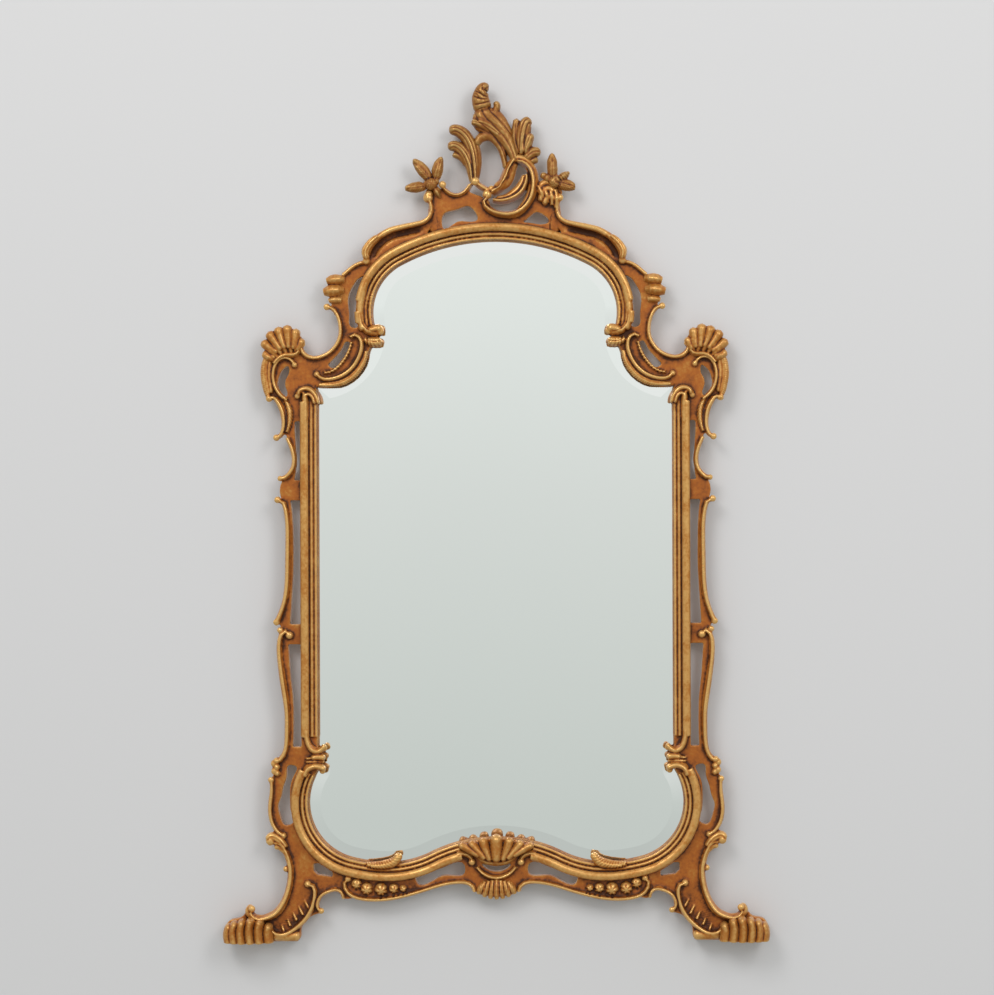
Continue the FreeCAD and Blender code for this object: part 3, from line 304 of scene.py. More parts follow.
def gilding(name, tone):
    """Water gilding: leaf on the ridges, bole and dark glaze in the hollows, bare wood behind; broad
    recesses also get painted shade and broad swells painted light.
    """
    colours = bpy.context.scene.mirror_finish
    leaf = shade_of(colours.leaf, tone)
    gold = shade_of(colours.gold, tone)
    bole = shade_of(colours.bole, tone)
    glaze_and_shade = tuple(colours.glaze_and_shade)
    finish = Finish(name)
    rub = finish.attribute("rub")
    ground = finish.attribute("ground")
    bare = finish.attribute("bare")
    cloud = finish.noise(34.0, 5.0)
    mottle = finish.noise(210.0, 4.0)
    grain = finish.noise(900.0, 2.0)
    # Wear and painted shade together, with random patches
    worn_and_shaded = (rub + (cloud - 0.5) * 0.75 + (mottle - 0.5) * 0.70).clipped()
    carved = finish.ramp(worn_and_shaded, [
        (0.0, glaze_and_shade), (0.20, blend(glaze_and_shade, bole, 0.35)),
        (0.40, blend(bole, gold, 0.35)), (0.56, gold),
        (0.74, blend(gold, leaf, 0.6)), (1.0, leaf)])
    field = finish.ramp((worn_and_shaded * 0.8 + mottle * 0.25 + (cloud - 0.5) * 0.9).clipped(), [
        (0.0, glaze_and_shade), (0.30, blend(glaze_and_shade, bole, 0.7)), (0.55, bole),
        (0.80, blend(bole, gold, 0.75)), (1.0, blend(gold, leaf, 0.35))])
    gilt = finish.mix(ground * 0.8, carved, field)
    wood = finish.ramp(finish.noise(60.0, 5.0, 0.6, (1.0, 1.0, 0.08)), [
        (0.3, (0.13, 0.070, 0.030)), (0.7, (0.24, 0.135, 0.062))])
    finish.set(
        Base_Color=finish.mix(bare, gilt, wood),
        Specular_IOR_Level=0.25,
        Metallic=((worn_and_shaded.between(0.30, 0.85) * 0.46 + 0.06) * (1 - bare)).clipped(),
        Roughness=((1 - worn_and_shaded) * 0.30 + mottle * 0.16 + ground * 0.06 + bare * 0.2 + 0.18).clipped(),
        Normal=finish.bump(mottle * 0.5 + grain * 0.5, 0.22, 0.0006),
    )
    return finish.material


def silvered_glass():
    """Silvered plate glass with a faint green body and the slightest unevenness."""
    finish = Finish("silvered glass")
    haze = finish.noise(2.2, 2.0, 0.5, (1.0, 1.0, 0.25))
    silver = tuple(bpy.context.scene.mirror_finish.silver)
    dull = blend(silver, (0.86, 0.88, 0.865), 0.5)
    finish.set(
        Base_Color=finish.mix(haze.between(0.3, 0.7), silver, dull),
        Metallic=1.0,
        Roughness=haze * 0.03 + 0.01,
    )
    return finish.material


def felt(name, colour):
    """Pressed felt with short fibres."""
    finish = Finish(name)
    fibre = finish.noise(1500.0, 4.0, 0.7)
    finish.set(
        Base_Color=finish.ramp(fibre, [(0.25, shade_of(colour, 0.6)), (0.75, shade_of(colour, 1.3))]),
        Roughness=0.95,
        Normal=finish.bump(fibre, 0.5, 0.0008),
    )
    return finish.material


def plain_wood(name, colour, stretch):
    """Unpolished wood with its grain along the longest stretch."""
    finish = Finish(name)
    grain = finish.noise(90.0, 6.0, 0.6, stretch)
    figure = finish.noise(7.0, 3.0, 0.5, stretch)
    shade = (grain * 0.6 + figure * 0.4).clipped()
    finish.set(
        Base_Color=finish.ramp(shade, [(0.3, shade_of(colour, 0.7)), (0.7, shade_of(colour, 1.15))]),
        Roughness=(grain * 0.25 + 0.55).clipped(),
        Normal=finish.bump(grain, 0.25, 0.0005),
    )
    return finish.material


def worn_metal(name, colour, rough):
    """Hardware metal with dulled patches and fine scratches."""
    finish = Finish(name)
    tarnish = finish.noise(160.0, 4.0)
    scratch = finish.noise(500.0, 3.0, 0.6, (1.0, 1.0, 6.0))
    finish.set(
        Base_Color=finish.mix(tarnish.between(0.4, 0.75), colour, shade_of(colour, 0.55)),
        Metallic=1.0,
        Roughness=(tarnish * 0.25 + scratch * 0.12 + rough).clipped(),
        Normal=finish.bump(scratch, 0.12, 0.0002),
    )
    return finish.material


# Surfaces


def read(items, key, width, kind):
    """One row of values after another from the items of a mesh."""
    values = np.empty(width * len(items), kind)
    items.foreach_get(key, values)
    return values


def placed(name, data):
    """A new object in the scene."""
    made = bpy.data.objects.new(name, data)
    bpy.context.collection.objects.link(made)
    return made


def node_surface(name):
    """Vertices and triangles of a solid's mesh, with the vertices that share a place made one."""
    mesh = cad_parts[name].data
    spots = read(mesh.vertices, "co", 3, np.float32)
    mesh.calc_loop_triangles()
    corners = read(mesh.loop_triangles, "vertices", 3, np.int32)
    keys = np.round(spots.reshape(-1, 3).astype(float) * PER_METRE).astype(np.int64)
    merged, place = np.unique(keys, axis=0, return_inverse=True)
    triangles = place.ravel()[corners].reshape(-1, 3)
    whole = (triangles != np.roll(triangles, -1, axis=1)).all(1)
    return merged * MICRON, triangles[whole]


def skinned(spots, triangles, cell):
    """Mesh of small even squares around a closed surface, by a voxel remesh."""
    blank = bpy.data.meshes.new("blank")
    blank.from_pydata(spots, [], triangles)
    holder = placed("blank", blank)
    remesh = holder.modifiers.new("skin", "REMESH")
    remesh.mode = "VOXEL"
    remesh.voxel_size = cell
    mesh = bpy.data.meshes.new_from_object(holder.evaluated_get(bpy.context.evaluated_depsgraph_get()))
    bpy.data.objects.remove(holder)
    bpy.data.meshes.remove(blank)
    return mesh


def mesh_arrays(mesh):
    """Vertices in millimetres, squares and edges of a mesh."""
    spots = read(mesh.vertices, "co", 3, np.float32)
    corners = read(mesh.loops, "vertex_index", 1, np.int32)
    edges = read(mesh.edges, "vertices", 2, np.int32)
    return spots.reshape(-1, 3).astype(float) / MM, corners.reshape(-1, 4), edges.reshape(-1, 2)


def averaged(values, edges, passes, share=0.5):
    """Each value moved part way to the mean of its neighbours, several times."""
    count = np.bincount(edges.ravel(), minlength=len(values))
    for _ in range(passes):
        total = np.empty_like(values)
        for k in range(values.shape[1]):
            total[:, k] = (np.bincount(edges[:, 0], values[edges[:, 1], k], len(values))
                           + np.bincount(edges[:, 1], values[edges[:, 0], k], len(values)))
        values = values + share * (total / count[:, None] - values)
    return values


def normals(spots, squares):
    """Mean direction of the squares round each vertex: the cross product of their diagonals."""
    a, b, c, d = (spots[squares[:, k]] for k in range(4))
    faces = np.cross(c - a, d - b)
    total = np.empty_like(spots)
    for k in range(3):
        total[:, k] = np.bincount(squares.ravel(), np.repeat(faces[:, k], 4), len(spots))
    return total / np.maximum(np.linalg.norm(total, axis=1, keepdims=True), TINY)


def drawn(points):
    """Points along a smooth line through the given ones: a Catmull-Rom spline."""
    fixed = np.asarray(points, float)
    ends = np.vstack((2 * fixed[0] - fixed[1], fixed, 2 * fixed[-1] - fixed[-2]))
    share = np.linspace(0, 1, SPLINE_STEPS, endpoint=False)[:, None, None]
    a, b, c, d = ends[:-3], ends[1:-2], ends[2:-1], ends[3:]
    line = 0.5 * (2 * b + (c - a) * share + (2 * a - 5 * b + 4 * c - d) * share ** 2
                  + (3 * b - 3 * c + d - a) * share ** 3)
    return np.vstack((line.transpose(1, 0, 2).reshape(-1, 2), fixed[-1:]))


def near_line(x, z, points, reach):
    """Vertices near a drawn line: which, how far along, how far to its left, and the line's length."""
    line = drawn(points)
    low = line.min(0) - reach
    high = line.max(0) + reach
    pick = np.nonzero((x > low[0]) & (x < high[0]) & (z > low[1]) & (z < high[1]))[0]
    step = np.diff(line, axis=0)
    size = np.maximum(np.hypot(step[:, 0], step[:, 1]), TINY)
    along = np.concatenate(([0.0], np.cumsum(size)))
    off = np.stack((x[pick], z[pick]), 1)[:, None, :] - line[None, :-1]
    share = np.clip((off * step).sum(2) / size ** 2, 0, 1)
    gap = off - share[..., None] * step
    far = np.hypot(gap[..., 0], gap[..., 1])
    best = far.argmin(1)
    rows = np.arange(len(pick))
    off = off[rows, best]
    across = far[rows, best] * np.sign(step[best, 0] * off[:, 1] - step[best, 1] * off[:, 0])
    run = along[best] + share[rows, best] * size[best]
    keep = far[rows, best] < reach
    return pick[keep], run[keep], across[keep], along[-1]


def window(value, full, none):
    """One up to full, nought past none and smooth in the middle."""
    share = np.clip((none - value) / (none - full), 0, 1)
    return share * share * (3 - 2 * share)


def fading(run, length, full):
    """One along the middle of a line and nought at its ends."""
    return window(np.abs(run / length - 0.5), full, 0.5)


def arc(centre, radius, first, last, count=7):
    """Points along an arc between two bearings."""
    turn = np.radians(np.linspace(first, last, count))
    return np.stack((centre[0] + radius * np.cos(turn), centre[1] + radius * np.sin(turn)), 1)


def strand(points, halves, rise, base, side=1):
    """Closed surface of a strand: an oval with round ends along a line, its middle at the depth base."""
    line = drawn(points)
    along = np.concatenate(([0.0], np.cumsum(np.hypot(*np.diff(line, axis=0).T))))
    half = np.interp(along, np.linspace(0, along[-1], len(halves)), halves)
    end = np.minimum(along, along[-1] - along)
    cap = np.sqrt(1 - (1 - np.minimum(end / half, 1)) ** 2)
    step = np.gradient(line, axis=0)
    step /= np.maximum(np.hypot(step[:, 0], step[:, 1]), TINY)[:, None]
    turn = np.linspace(0, 2 * np.pi, SIDES, endpoint=False)
    reach = (cap * half)[:, None] * np.cos(turn)
    height = np.maximum(line[:, 1:] + step[:, :1] * reach, 0.0)
    out = side * (line[:, :1] - step[:, 1:] * reach)
    depth = base - (cap * rise)[:, None] * np.sin(turn)
    spots = np.stack((out, depth, height - HANG_Z), 2).reshape(-1, 3)
    rings = SIDES * np.arange(len(line) - 1)[:, None]
    first = rings + np.arange(SIDES)
    beside = rings + (np.arange(SIDES) + 1) % SIDES
    opposite = beside + SIDES
    corners = np.stack((first, beside, opposite, first, opposite, first + SIDES), 2)
    return spots * MM, corners.reshape(-1, 3)


def joined(surfaces):
    """Several closed surfaces as one list of vertices and one of triangles."""
    starts = np.cumsum([0] + [len(spots) for spots, _ in surfaces])
    return (np.vstack([spots for spots, _ in surfaces]),
            np.vstack([triangles + start for (_, triangles), start in zip(surfaces, starts)]))


# Carver's cuts: each gives a height in millimetres from the way along a line and across it


def channel(side, rim=0.7, hollow=1.5, at=3.4, wide=1.5):
    """A rounded rim on one side of a scroll and a hollow on the other."""

    def shape(run, across, length):
        t = across * side
        raised = rim * np.exp(-((t + at * 0.45) / wide) ** 2)
        sunk = hollow * np.exp(-((t - at) / wide) ** 2)
        return fading(run, length, 0.36) * (raised - sunk)

    return shape, at + 3 * wide


def gouges(pitch, depth, half, lean=0.0, sharp=2.0, at=0.0):
    """Even cuts across a strand or along one side of it: notches a pitch apart."""

    def shape(run, across, length):
        notch = 1 - np.abs(np.sin(np.pi * ((run + lean * across) / pitch)))
        return -depth * notch ** sharp * window(np.abs(across - at), half * 0.6, half)

    return shape, half + abs(at)


def vein(depth, wide=0.9, at=0.0):
    """A groove along a strand that runs out at its ends."""

    def shape(run, across, length):
        return -depth * fading(run, length, 0.34) * np.exp(-((across - at) / wide) ** 2)

    return shape, abs(at) + 3 * wide


def flutes(count, half, depth):
    """Rounded flutes side by side along a leaf, with a sharp groove between each two."""

    def shape(run, across, length):
        share = across / half
        groove = 1 - np.abs(np.sin(np.pi * count * (share + 1) / 2))
        edges = window(np.abs(share), 0.75, 1.0)
        return -depth * fading(run, length, 0.40) * groove ** 1.6 * edges

    return shape, half


def feather(pitch, depth, half, lean=1.3):
    """Slanting cuts on both sides of a leaf's middle."""

    def shape(run, across, length):
        notch = 1 - np.abs(np.sin(np.pi * (run - lean * np.abs(across)) / pitch))
        body = window(np.abs(across), half * 0.7, half) * window(1.2 - np.abs(across), 0.0, 1.2)
        return -depth * notch ** 2 * body

    return shape, half


def fan(x, z, centre, near, far, first, last, count, depth, sharp=2.0):
    """Straight cuts that spread from a centre between two radii and two bearings."""
    dx = x - centre[0]
    dz = z - centre[1]
    radius = np.hypot(dx, dz)
    turn = (np.degrees(np.arctan2(dz, dx)) - first) % 360.0
    span = (last - first) % 360.0
    notch = 1 - np.abs(np.sin(np.pi * count * turn / span))
    inside = (turn <= span) & (radius > near) & (radius < far)
    ends = window(np.abs(radius - (near + far) / 2), (far - near) * 0.3, (far - near) * 0.5)
    return np.where(inside, -depth * notch ** sharp * ends, 0.0)


# Lines of the carving on the left half: millimetres right of the middle and above the soles
EAR_HOOK = [(-319, 919), (-324, 926), (-333, 930), (-343, 927), (-351, 914), (-352.5, 897), (-348, 881),
            (-339, 869), (-331, 863)]
EAR_LEAF = [(-362.5, 934), (-366.5, 920), (-367.5, 903), (-365.5, 887), (-362.5, 873), (-358.5, 865)]
EAR_TAIL = [(-359.5, 865), (-352, 867), (-344, 858), (-338.5, 846), (-336, 832), (-336.5, 818),
            (-341, 807), (-348, 803)]
SIDE_LOW = [(-328.5, 488), (-334, 494.5), (-341, 489), (-344, 478), (-344.5, 462), (-342.5, 440),
            (-339, 415), (-335.5, 392), (-332.5, 368), (-332, 342), (-333, 317.7), (-336, 302),
            (-343, 291), (-352, 285.5)]
BRACKET = [(-279.5, 49), (-285.5, 54), (-285.5, 64), (-279.5, 74), (-266.5, 81), (-252.5, 82.5),
           (-246.5, 78), (-244.5, 68)]
ROLL = [(-100, 1163), (-104, 1153), (-113, 1146), (-128, 1141.5), (-146, 1137.5), (-165, 1132.5),
        (-182, 1123), (-195, 1110), (-202, 1097), (-204, 1084)]
SHOULDER_C = [(-258, 1008), (-250, 998), (-245.5, 983), (-245, 968), (-250, 953), (-259.5, 941),
              (-273, 932.5), (-289, 929.5), (-301, 934)]
INNER_C = [(-230, 963), (-222, 966), (-214.5, 960), (-212.5, 947), (-217, 931), (-228, 914),
           (-243, 902.5), (-260, 897), (-275, 897.5), (-283.5, 904)]
FRILL = [(-204.5, 941), (-210.5, 922), (-224.5, 903), (-242.5, 891.5), (-262.5, 887.5), (-280.5, 887)]

# Petals of the two flowers: line, depth of the cuts and half width
PETALS = [
    ([(-100, 1210), (-114, 1226), (-129, 1242)], 0.8, 7.5),
    ([(-94, 1210), (-89, 1228), (-84, 1247)], 0.8, 8.5),
    ([(-107, 1203), (-124, 1200), (-142, 1198)], 0.8, 8.5),
    ([(93, 1210), (93, 1230), (93, 1250)], 0.8, 9.0),
    ([(100, 1206), (114, 1202), (129, 1198)], 0.9, 8.0),
]
RING_LEAF = [(-4, 1194), (9, 1202), (18, 1216), (24, 1231), (33, 1245)]

# Pieces made of strands alone, and the pearls of the rail: middle and reach of their cuts
ALL_STRANDS = ("left_toe", "right_toe", "crest_plume", "crest_left_leaf", "crest_right_leaf")
PEARLS = [((-223, 88), 9), ((-207, 81), 11), ((-183, 80), 13), ((-163, 80), 10), ((-148, 81), 8)]

# Cuts of the boards, drawn on the left half
FRAME_CUTS = [
    (ROLL[2:], channel(1, 0.5, 4.0, 10.5, 4.5)),
    (SHOULDER_C, channel(1, 0.6, 1.4, 3.2, 1.3)),
    (INNER_C, channel(-1, 0.6, 1.6, 4.2, 1.6)),
    ([(-228, 956), (-233, 940), (-244, 922), (-259, 909), (-272.5, 906)], gouges(5.5, 1.1, 4.5, 0.4)),
    (FRILL, gouges(3.4, 1.4, 3.4, 0.3, 1.5, 4.8)),
    (FRILL, vein(0.9, 0.8, -1.0)),
    ([(-215, 1005), (-212.5, 987), (-204, 974), (-192, 969), (-182, 972)], vein(1.1, 0.8, 2.2)),
    ([(-208, 960), (-193, 952), (-181, 952)], gouges(6.0, 1.3, 8.0, 0.6)),
    (EAR_HOOK, channel(1, 0.5, 1.2, 3.0, 1.2)),
    (EAR_LEAF, gouges(3.2, 1.1, 5.0, 0.2, 1.4, -2.5)),
    (EAR_LEAF, vein(1.2, 0.9, 5.5)),
    (EAR_TAIL, channel(1, 0.6, 1.3, 3.2, 1.2)),
    ([(-333.5, 862), (-327.5, 846), (-327.5, 828), (-331.5, 812)], feather(5.2, 0.9, 6.0)),
    ([(-331.5, 803), (-324, 788), (-320, 772), (-321, 757), (-327, 746), (-337, 738.5)],
     channel(1, 0.6, 1.2, 3.2, 1.2)),
    ([(-339, 701), (-333.5, 688), (-330.5, 667), (-330, 635), (-330.5, 600), (-331.5, 570), (-335, 545),
      (-341, 526), (-349, 509)], channel(1, 0.6, 1.2, 3.4, 1.3)),
    (SIDE_LOW, channel(1, 0.6, 1.2, 3.6, 1.4)),
    ([(-358.5, 258), (-357, 240), (-359, 222), (-359.5, 205), (-356, 189), (-348, 176), (-339.5, 169)],
     channel(1, 0.6, 1.6, 3.8, 1.5)),
    ([(-353, 158), (-341, 152), (-333, 138), (-328, 119), (-328, 98), (-332, 79), (-339, 62), (-351, 46),
      (-368, 38), (-381, 37), (-390.5, 45)], channel(1, 0.7, 1.6, 4.2, 1.6)),
    ([(-353, 158), (-341, 152), (-333, 138), (-329, 124)], vein(1.1, 0.8, -1.5)),
    ([(-300.5, 92), (-292, 88), (-290, 74), (-294, 56), (-305, 37), (-322, 21), (-340, 12), (-355, 15),
      (-362.5, 27)], channel(-1, 0.7, 1.7, 4.0, 1.5)),
    (BRACKET, channel(1, 0.5, 1.2, 3.0, 1.1)),
    ([(-242.5, 92), (-237.5, 79), (-223.5, 70.5), (-203.5, 67), (-182.5, 67), (-163, 69.5), (-143, 74),
      (-120, 80.5), (-98, 87.5), (-78, 92.5), (-60, 94.5), (-47, 93), (-38, 87)],
     channel(1, 0.5, 1.1, 3.0, 1.2)),
    ([(-206.5, 123), (-190.5, 121), (-174.5, 123), (-161.5, 130), (-154.5, 140)],
     gouges(4.6, 1.1, 7.5, 0.5, 1.5)),
    ([(-62, 138.5), (-54, 139.5), (-46, 137.5), (-40.5, 132), (-39, 126)], vein(0.8, 0.8, -1.4)),
    ([(-31, 118), (-22, 108), (-10, 102), (0, 100.5)], channel(-1, 0.4, 0.9, 2.8, 1.0)),
]

# Lobes on the right half of the sill's shell: points and half widths
SILL_LOBES = [
    (((9, 128), (18, 150), (22, 167)), (5, 7.5, 7.5)),
    (((16, 131), (34, 150), (42, 161)), (5, 7, 7)),
    (((25, 136), (48, 150), (60, 155)), (4.5, 6.5, 6)),
]

# Strands added to the solids: points, half widths, half depth, depth of the middle and number of flutes
FORMS = {
    "frame": [
        (ROLL[:7], (3, 4, 4.5, 5, 5.5), 9, -27, 0),
        ([(-184, 1124), (-197, 1112), (-204.5, 1099), (-203, 1085)], (4, 6.5, 7.5, 5), 11, -28, 3),
        ([(-95, 1126), (-96, 1150), (-97, 1180)], (10, 11, 7), 9.5, -15, 0),
        ([(-106, 1130), (-108, 1152)], (9, 9), 9.5, -15, 0),
        ([(-361, 934), (-362, 918), (-362, 903), (-361, 888), (-358, 872)], (6, 8, 8.5, 8, 5),
         6, -25.5, 0),
        ([(-358, 9), (-338, 9), (-312, 9)], (7, 8.5, 8.5), 10, -24, 0),
        (arc(ARCH_SIDE, ARCH_SIDE_R + 2, 160, 195), (2.3, 2.3), 3.2, -24, 0),
        (arc(ARCH_SIDE, ARCH_SIDE_R + 9, 160, 195), (2.8, 2.8), 4.6, -24, 0),
        (arc(ARCH_SIDE, ARCH_SIDE_R + 17.5, 152, 197), (4, 7, 7, 7, 5), 12.8, -24, 0),
        ([(-286.5, 840), (-286.5, 872)], (2.3, 2.3), 3.2, -24, 0),
        ([(-293.5, 840), (-293.5, 874)], (2.8, 2.8), 4.6, -24, 0),
        ([(-302, 820), (-302, 848), (-302, 876)], (4, 6, 6, 5), 12.8, -24, 0),
        ([(-313, 870), (-310, 878), (-300, 881), (-291, 877), (-284, 867), (-280.5, 856)],
         (3, 4, 4.5, 4.5, 4, 2.5), 10, -27, 0),
        ([(-304, 868), (-297, 872), (-290, 867), (-287, 856)], (3, 3.5, 3.5, 2.5), 11, -26, 0),
        ([(-302.5, 340), (-301, 322), (-295, 308), (-285, 303), (-276, 308), (-272.5, 315)],
         (4.3, 4.3, 4.5, 5, 4), 9, -28, 0),
        ([(-295, 293), (-283, 294.5), (-271, 293)], (4, 5.5, 5), 10, -27, 0),
        ([(-203, 971), (-188, 976), (-178, 974)], (6, 7.5, 7.5), 12, -26, 0),
        ([(-205, 957), (-190, 955), (-179, 957)], (6, 8, 7.5), 12, -26, 2),
        ([(-202, 121), (-182, 121), (-164, 126), (-152, 141)], (3.5, 5.5, 7, 6.5), 9, -28, 0),
        ([(-334, 148), (-345, 162), (-358, 168), (-366, 161)], (4, 6.5, 7.5, 5.5), 10, -26, 2),
        ([(-335, 140), (-346, 151), (-354, 149)], (3, 5, 4.5), 8, -25, 0),
        ([(-352, 45), (-370, 38), (-386, 39), (-395, 49), (-389, 59)], (4, 5, 6, 6, 5), 10, -27, 0),
        ([(-355, 290), (-344, 287)], (5, 5.5), 9, -26, 0),
        ([(-354, 280), (-344, 277)], (5, 5.5), 9, -26, 0),
        ([(-353, 270), (-344, 267)], (5, 5), 8, -26, 0),
        ([(-306, 262), (-300.5, 274), (-290, 279.5), (-279, 278), (-271, 274)], (4.3, 4.5, 5, 5.5, 4.5),
         10, -28, 0),
    ],
    "ear_shell": [
        ([(-347, 931), (-359, 933), (-370.5, 938)], (5, 7, 7), 10, -27, 0),
        ([(-344, 938), (-358, 946), (-371, 957)], (5, 7.5, 8), 11, -28, 0),
        ([(-339, 941), (-350, 956), (-361, 972)], (5, 7.5, 8.5), 12, -28, 0),
        ([(-333, 943), (-340, 961), (-346, 980)], (5, 7.5, 8.5), 12, -28, 0),
        ([(-327, 943), (-329, 963), (-330.5, 983)], (5, 7.5, 8.5), 12, -28, 0),
        ([(-321, 942), (-318, 960), (-316, 977)], (5, 7.5, 8), 11, -28, 0),
        ([(-316, 940), (-310, 951), (-305.5, 961)], (5, 6.5, 6.5), 10, -27, 0),
    ],
    "toe": [
        ([(x + 4, top), (x, top / 2), (x + 3, -8)], (6.5, 8.5, 8.5),
         (rise + 13) / 2, -16 - (rise + 13) / 2, 0)
        for x, top, rise in ((-427, 31, 20), (-418, 36, 26), (-406, 39, 30),
                             (-392.5, 41, 30), (-378.5, 38, 27), (-364.5, 31, 20))
    ],
    "sill_shell": [
        ([(0, 126), (0, 150), (0, 172)], (7, 9.5, 9.5), 15, -34, 0),
        *[([(side * x, z) for x, z in points], halves, 12, -33, 0)
          for side in (-1, 1) for points, halves in SILL_LOBES],
    ],
    "crest": [
        ([(-12.7, 1182), (-10, 1168), (11, 1158), (37.4, 1160.5), (58, 1187), (62.5, 1218), (51, 1242),
          (35, 1247.5), (30, 1239)], (5.5, 6, 6, 7, 8, 8.5, 8.5, 7.5, 5), 12, -22, 0),
        ([(0, 1198), (19, 1210.5), (27, 1229), (34.5, 1243)], (8, 9.5, 9.5, 7), 11, -21, 2),
        ([(2, 1183), (20, 1184), (36, 1195), (45, 1208), (49, 1222)], (4.5, 7, 8, 7, 5), 10, -21, 0),
        ([(70, 1190), (77, 1205), (89, 1208), (100, 1200)], (4.5, 6.5, 7, 5.5), 10, -22, 0),
        ([(73, 1177), (78.5, 1193), (87.5, 1198), (96, 1191)], (4.5, 6.5, 7, 6), 11, -23, 0),
        ([(79, 1172), (84, 1183), (92, 1185), (97, 1178)], (4.5, 6, 6.5, 5), 11, -24, 0),
        ([(-98, 1187), (-104, 1190), (-107, 1184), (-102, 1178)], (5, 6.5, 6.5, 5), 11, -22, 0),
    ],
    "crest_plume": [
        ([(34, 1240), (29, 1257), (18, 1278), (0, 1299), (-14, 1313), (-22, 1330)],
         (7, 9, 16, 23, 25, 16), 14, -22, 4),
        ([(-29, 1267), (-22, 1279), (-10, 1283), (2, 1278), (11, 1264), (16, 1246), (18, 1230)],
         (5.5, 8, 8.5, 8, 6, 5, 4), 9, -23, 0),
        ([(12, 1282), (-4, 1294), (-20, 1302), (-37, 1305)], (7, 10, 9, 5), 13, -25, 2),
        ([(-14, 1318), (-20, 1335), (-21, 1347), (-16, 1358.5), (-8, 1356.5)], (15, 15, 14, 11.5, 9),
         14, -23, 0),
        ([(-4, 1308), (2, 1321), (5, 1331), (1, 1338)], (7, 6.5, 6, 5), 10, -22, 0),
    ],
    "crest_left_leaf": [
        ([(-31, 1204), (-26, 1230), (-25, 1250), (-28, 1272)], (4, 5.5, 5.5, 4.5), 9, -20, 0),
        ([(-30, 1208), (-31, 1238), (-36, 1264), (-46, 1283), (-60, 1292.5), (-72, 1290)],
         (5, 6.5, 9, 10.5, 10.5, 8.5), 13, -22, 3),
        ([(-34, 1206), (-39, 1236), (-49, 1257), (-62, 1267), (-74, 1264)], (4.5, 7, 9, 9.5, 8),
         12, -24, 3),
        ([(-43, 1234), (-52, 1248), (-67, 1254)], (4, 5.5, 4.5), 9, -23, 0),
    ],
    "crest_right_leaf": [
        ([(40, 1250), (34, 1281), (36, 1312)], (6, 7.5, 5.5), 11, -20, 2),
        ([(43, 1250), (45.5, 1281), (51, 1302), (60, 1308)], (7, 10.5, 12, 9), 13, -23, 3),
        ([(47, 1252), (55, 1275), (60, 1287)], (6.5, 8.5, 7), 12, -25, 2),
        ([(48, 1244), (62, 1256), (75, 1257)], (6, 9.5, 8), 11, -24, 2),
        ([(55, 1241), (71, 1246)], (5.5, 6), 9, -22, 0),
    ],
    "left_flower": [
        ([(-100, 1215), (-114, 1231), (-129.5, 1246.5)], (2.5, 8.5, 8, 3), 7, -26, 0),
        ([(-95, 1215), (-90, 1233), (-83, 1250.5)], (2.5, 8.5, 8, 3), 7, -26, 0),
        ([(-106, 1203.5), (-124, 1202), (-143, 1200)], (2.5, 8.5, 7.5, 3), 7, -26, 0),
    ],
    "right_flower": [
        ([(92.5, 1216), (92.5, 1236), (92.5, 1256)], (3, 8.5, 8.5, 3), 7, -26, 0),
        ([(99, 1209.5), (114, 1206), (130, 1201)], (4, 7.5, 8, 5), 7, -26, 2),
    ],
}

# Cuts of the crest and its leaves
CREST_CUTS = [
    ([(-11, 1184), (-16, 1176), (-10, 1167), (5, 1160), (25, 1158), (43, 1165), (55, 1178), (61, 1195),
      (62, 1213), (57, 1230), (47, 1240), (37, 1242)], channel(1, 0.8, 1.8, 4.6, 1.7)),
    ([(52, 1222), (50, 1207), (42, 1193), (28, 1184), (12, 1180), (-2, 1181)],
     channel(-1, 0.8, 1.4, 3.8, 1.3)),
    (RING_LEAF, vein(1.4, 1.0, 3.0)),
    (RING_LEAF, vein(1.4, 1.0, -2.5)),
    ([(-82, 1202), (-76, 1195), (-65, 1189), (-53, 1190), (-44, 1197), (-38, 1206)],
     vein(0.9, 0.7, -1.5)),
    ([(-14, 1327), (-21, 1340), (-19, 1356)], gouges(8.0, 1.9, 14.0, -0.3, 2.6)),
    ([(-24, 1344), (-16, 1358), (-5, 1354)], gouges(7.0, 1.3, 9.0, -0.4, 2.2)),
    *[(points, cut) for points, depth, half in PETALS
      for cut in (feather(4.2, depth, half), vein(1.1, 0.8))],
    ([(102, 1211), (111, 1218), (120, 1225)], gouges(4.0, 1.1, 7.0)),
]


def cut_depths(cuts, x, z):
    """Height of every cut at each vertex."""
    field = np.zeros(len(x))
    for points, (shape, reach) in cuts:
        pick, run, across, length = near_line(x, z, points, reach)
        field[pick] += shape(run, across, length)
    return field


def form_cuts(name):
    """Flutes of a piece's added strands."""
    return [(points, flutes(count, max(halves), FLUTE_SHARE * rise))
            for points, halves, rise, _, count in FORMS.get(name, []) if count]


def frame_cuts(x, z):
    """Cuts of the boards, alike on both halves, and of the crest's board."""
    left = -np.abs(x)
    boards = cut_depths(FRAME_CUTS + form_cuts("frame"), left, z)
    crest = cut_depths(CREST_CUTS + form_cuts("crest"), x, z)
    foot = fan(left, z, (-286, 30), 38, 58, 128, 188, 15, 0.9)
    crown = fan(left, z, (0, CROWN_CENTRE_Z), 352, 372, 104, 128, 46, 0.35)
    pearls = sum(fan(left, z, spot, 1.5, far, 20, 379.9, 6, 1.6, 1.3) for spot, far in PEARLS)
    return boards + crest + foot + crown + pearls


def crest_cuts(name):
    """Cuts of one piece of the crest."""
    return lambda x, z: cut_depths(CREST_CUTS + form_cuts(name), x, z)


def apron_cuts(x, z):
    """Fine reeds of the apron."""
    return fan(x, z, (0, 190), 90, 118, 255, 285, 17, 0.8)


def plain(x, z):
    """No cuts."""
    return np.zeros(len(x))


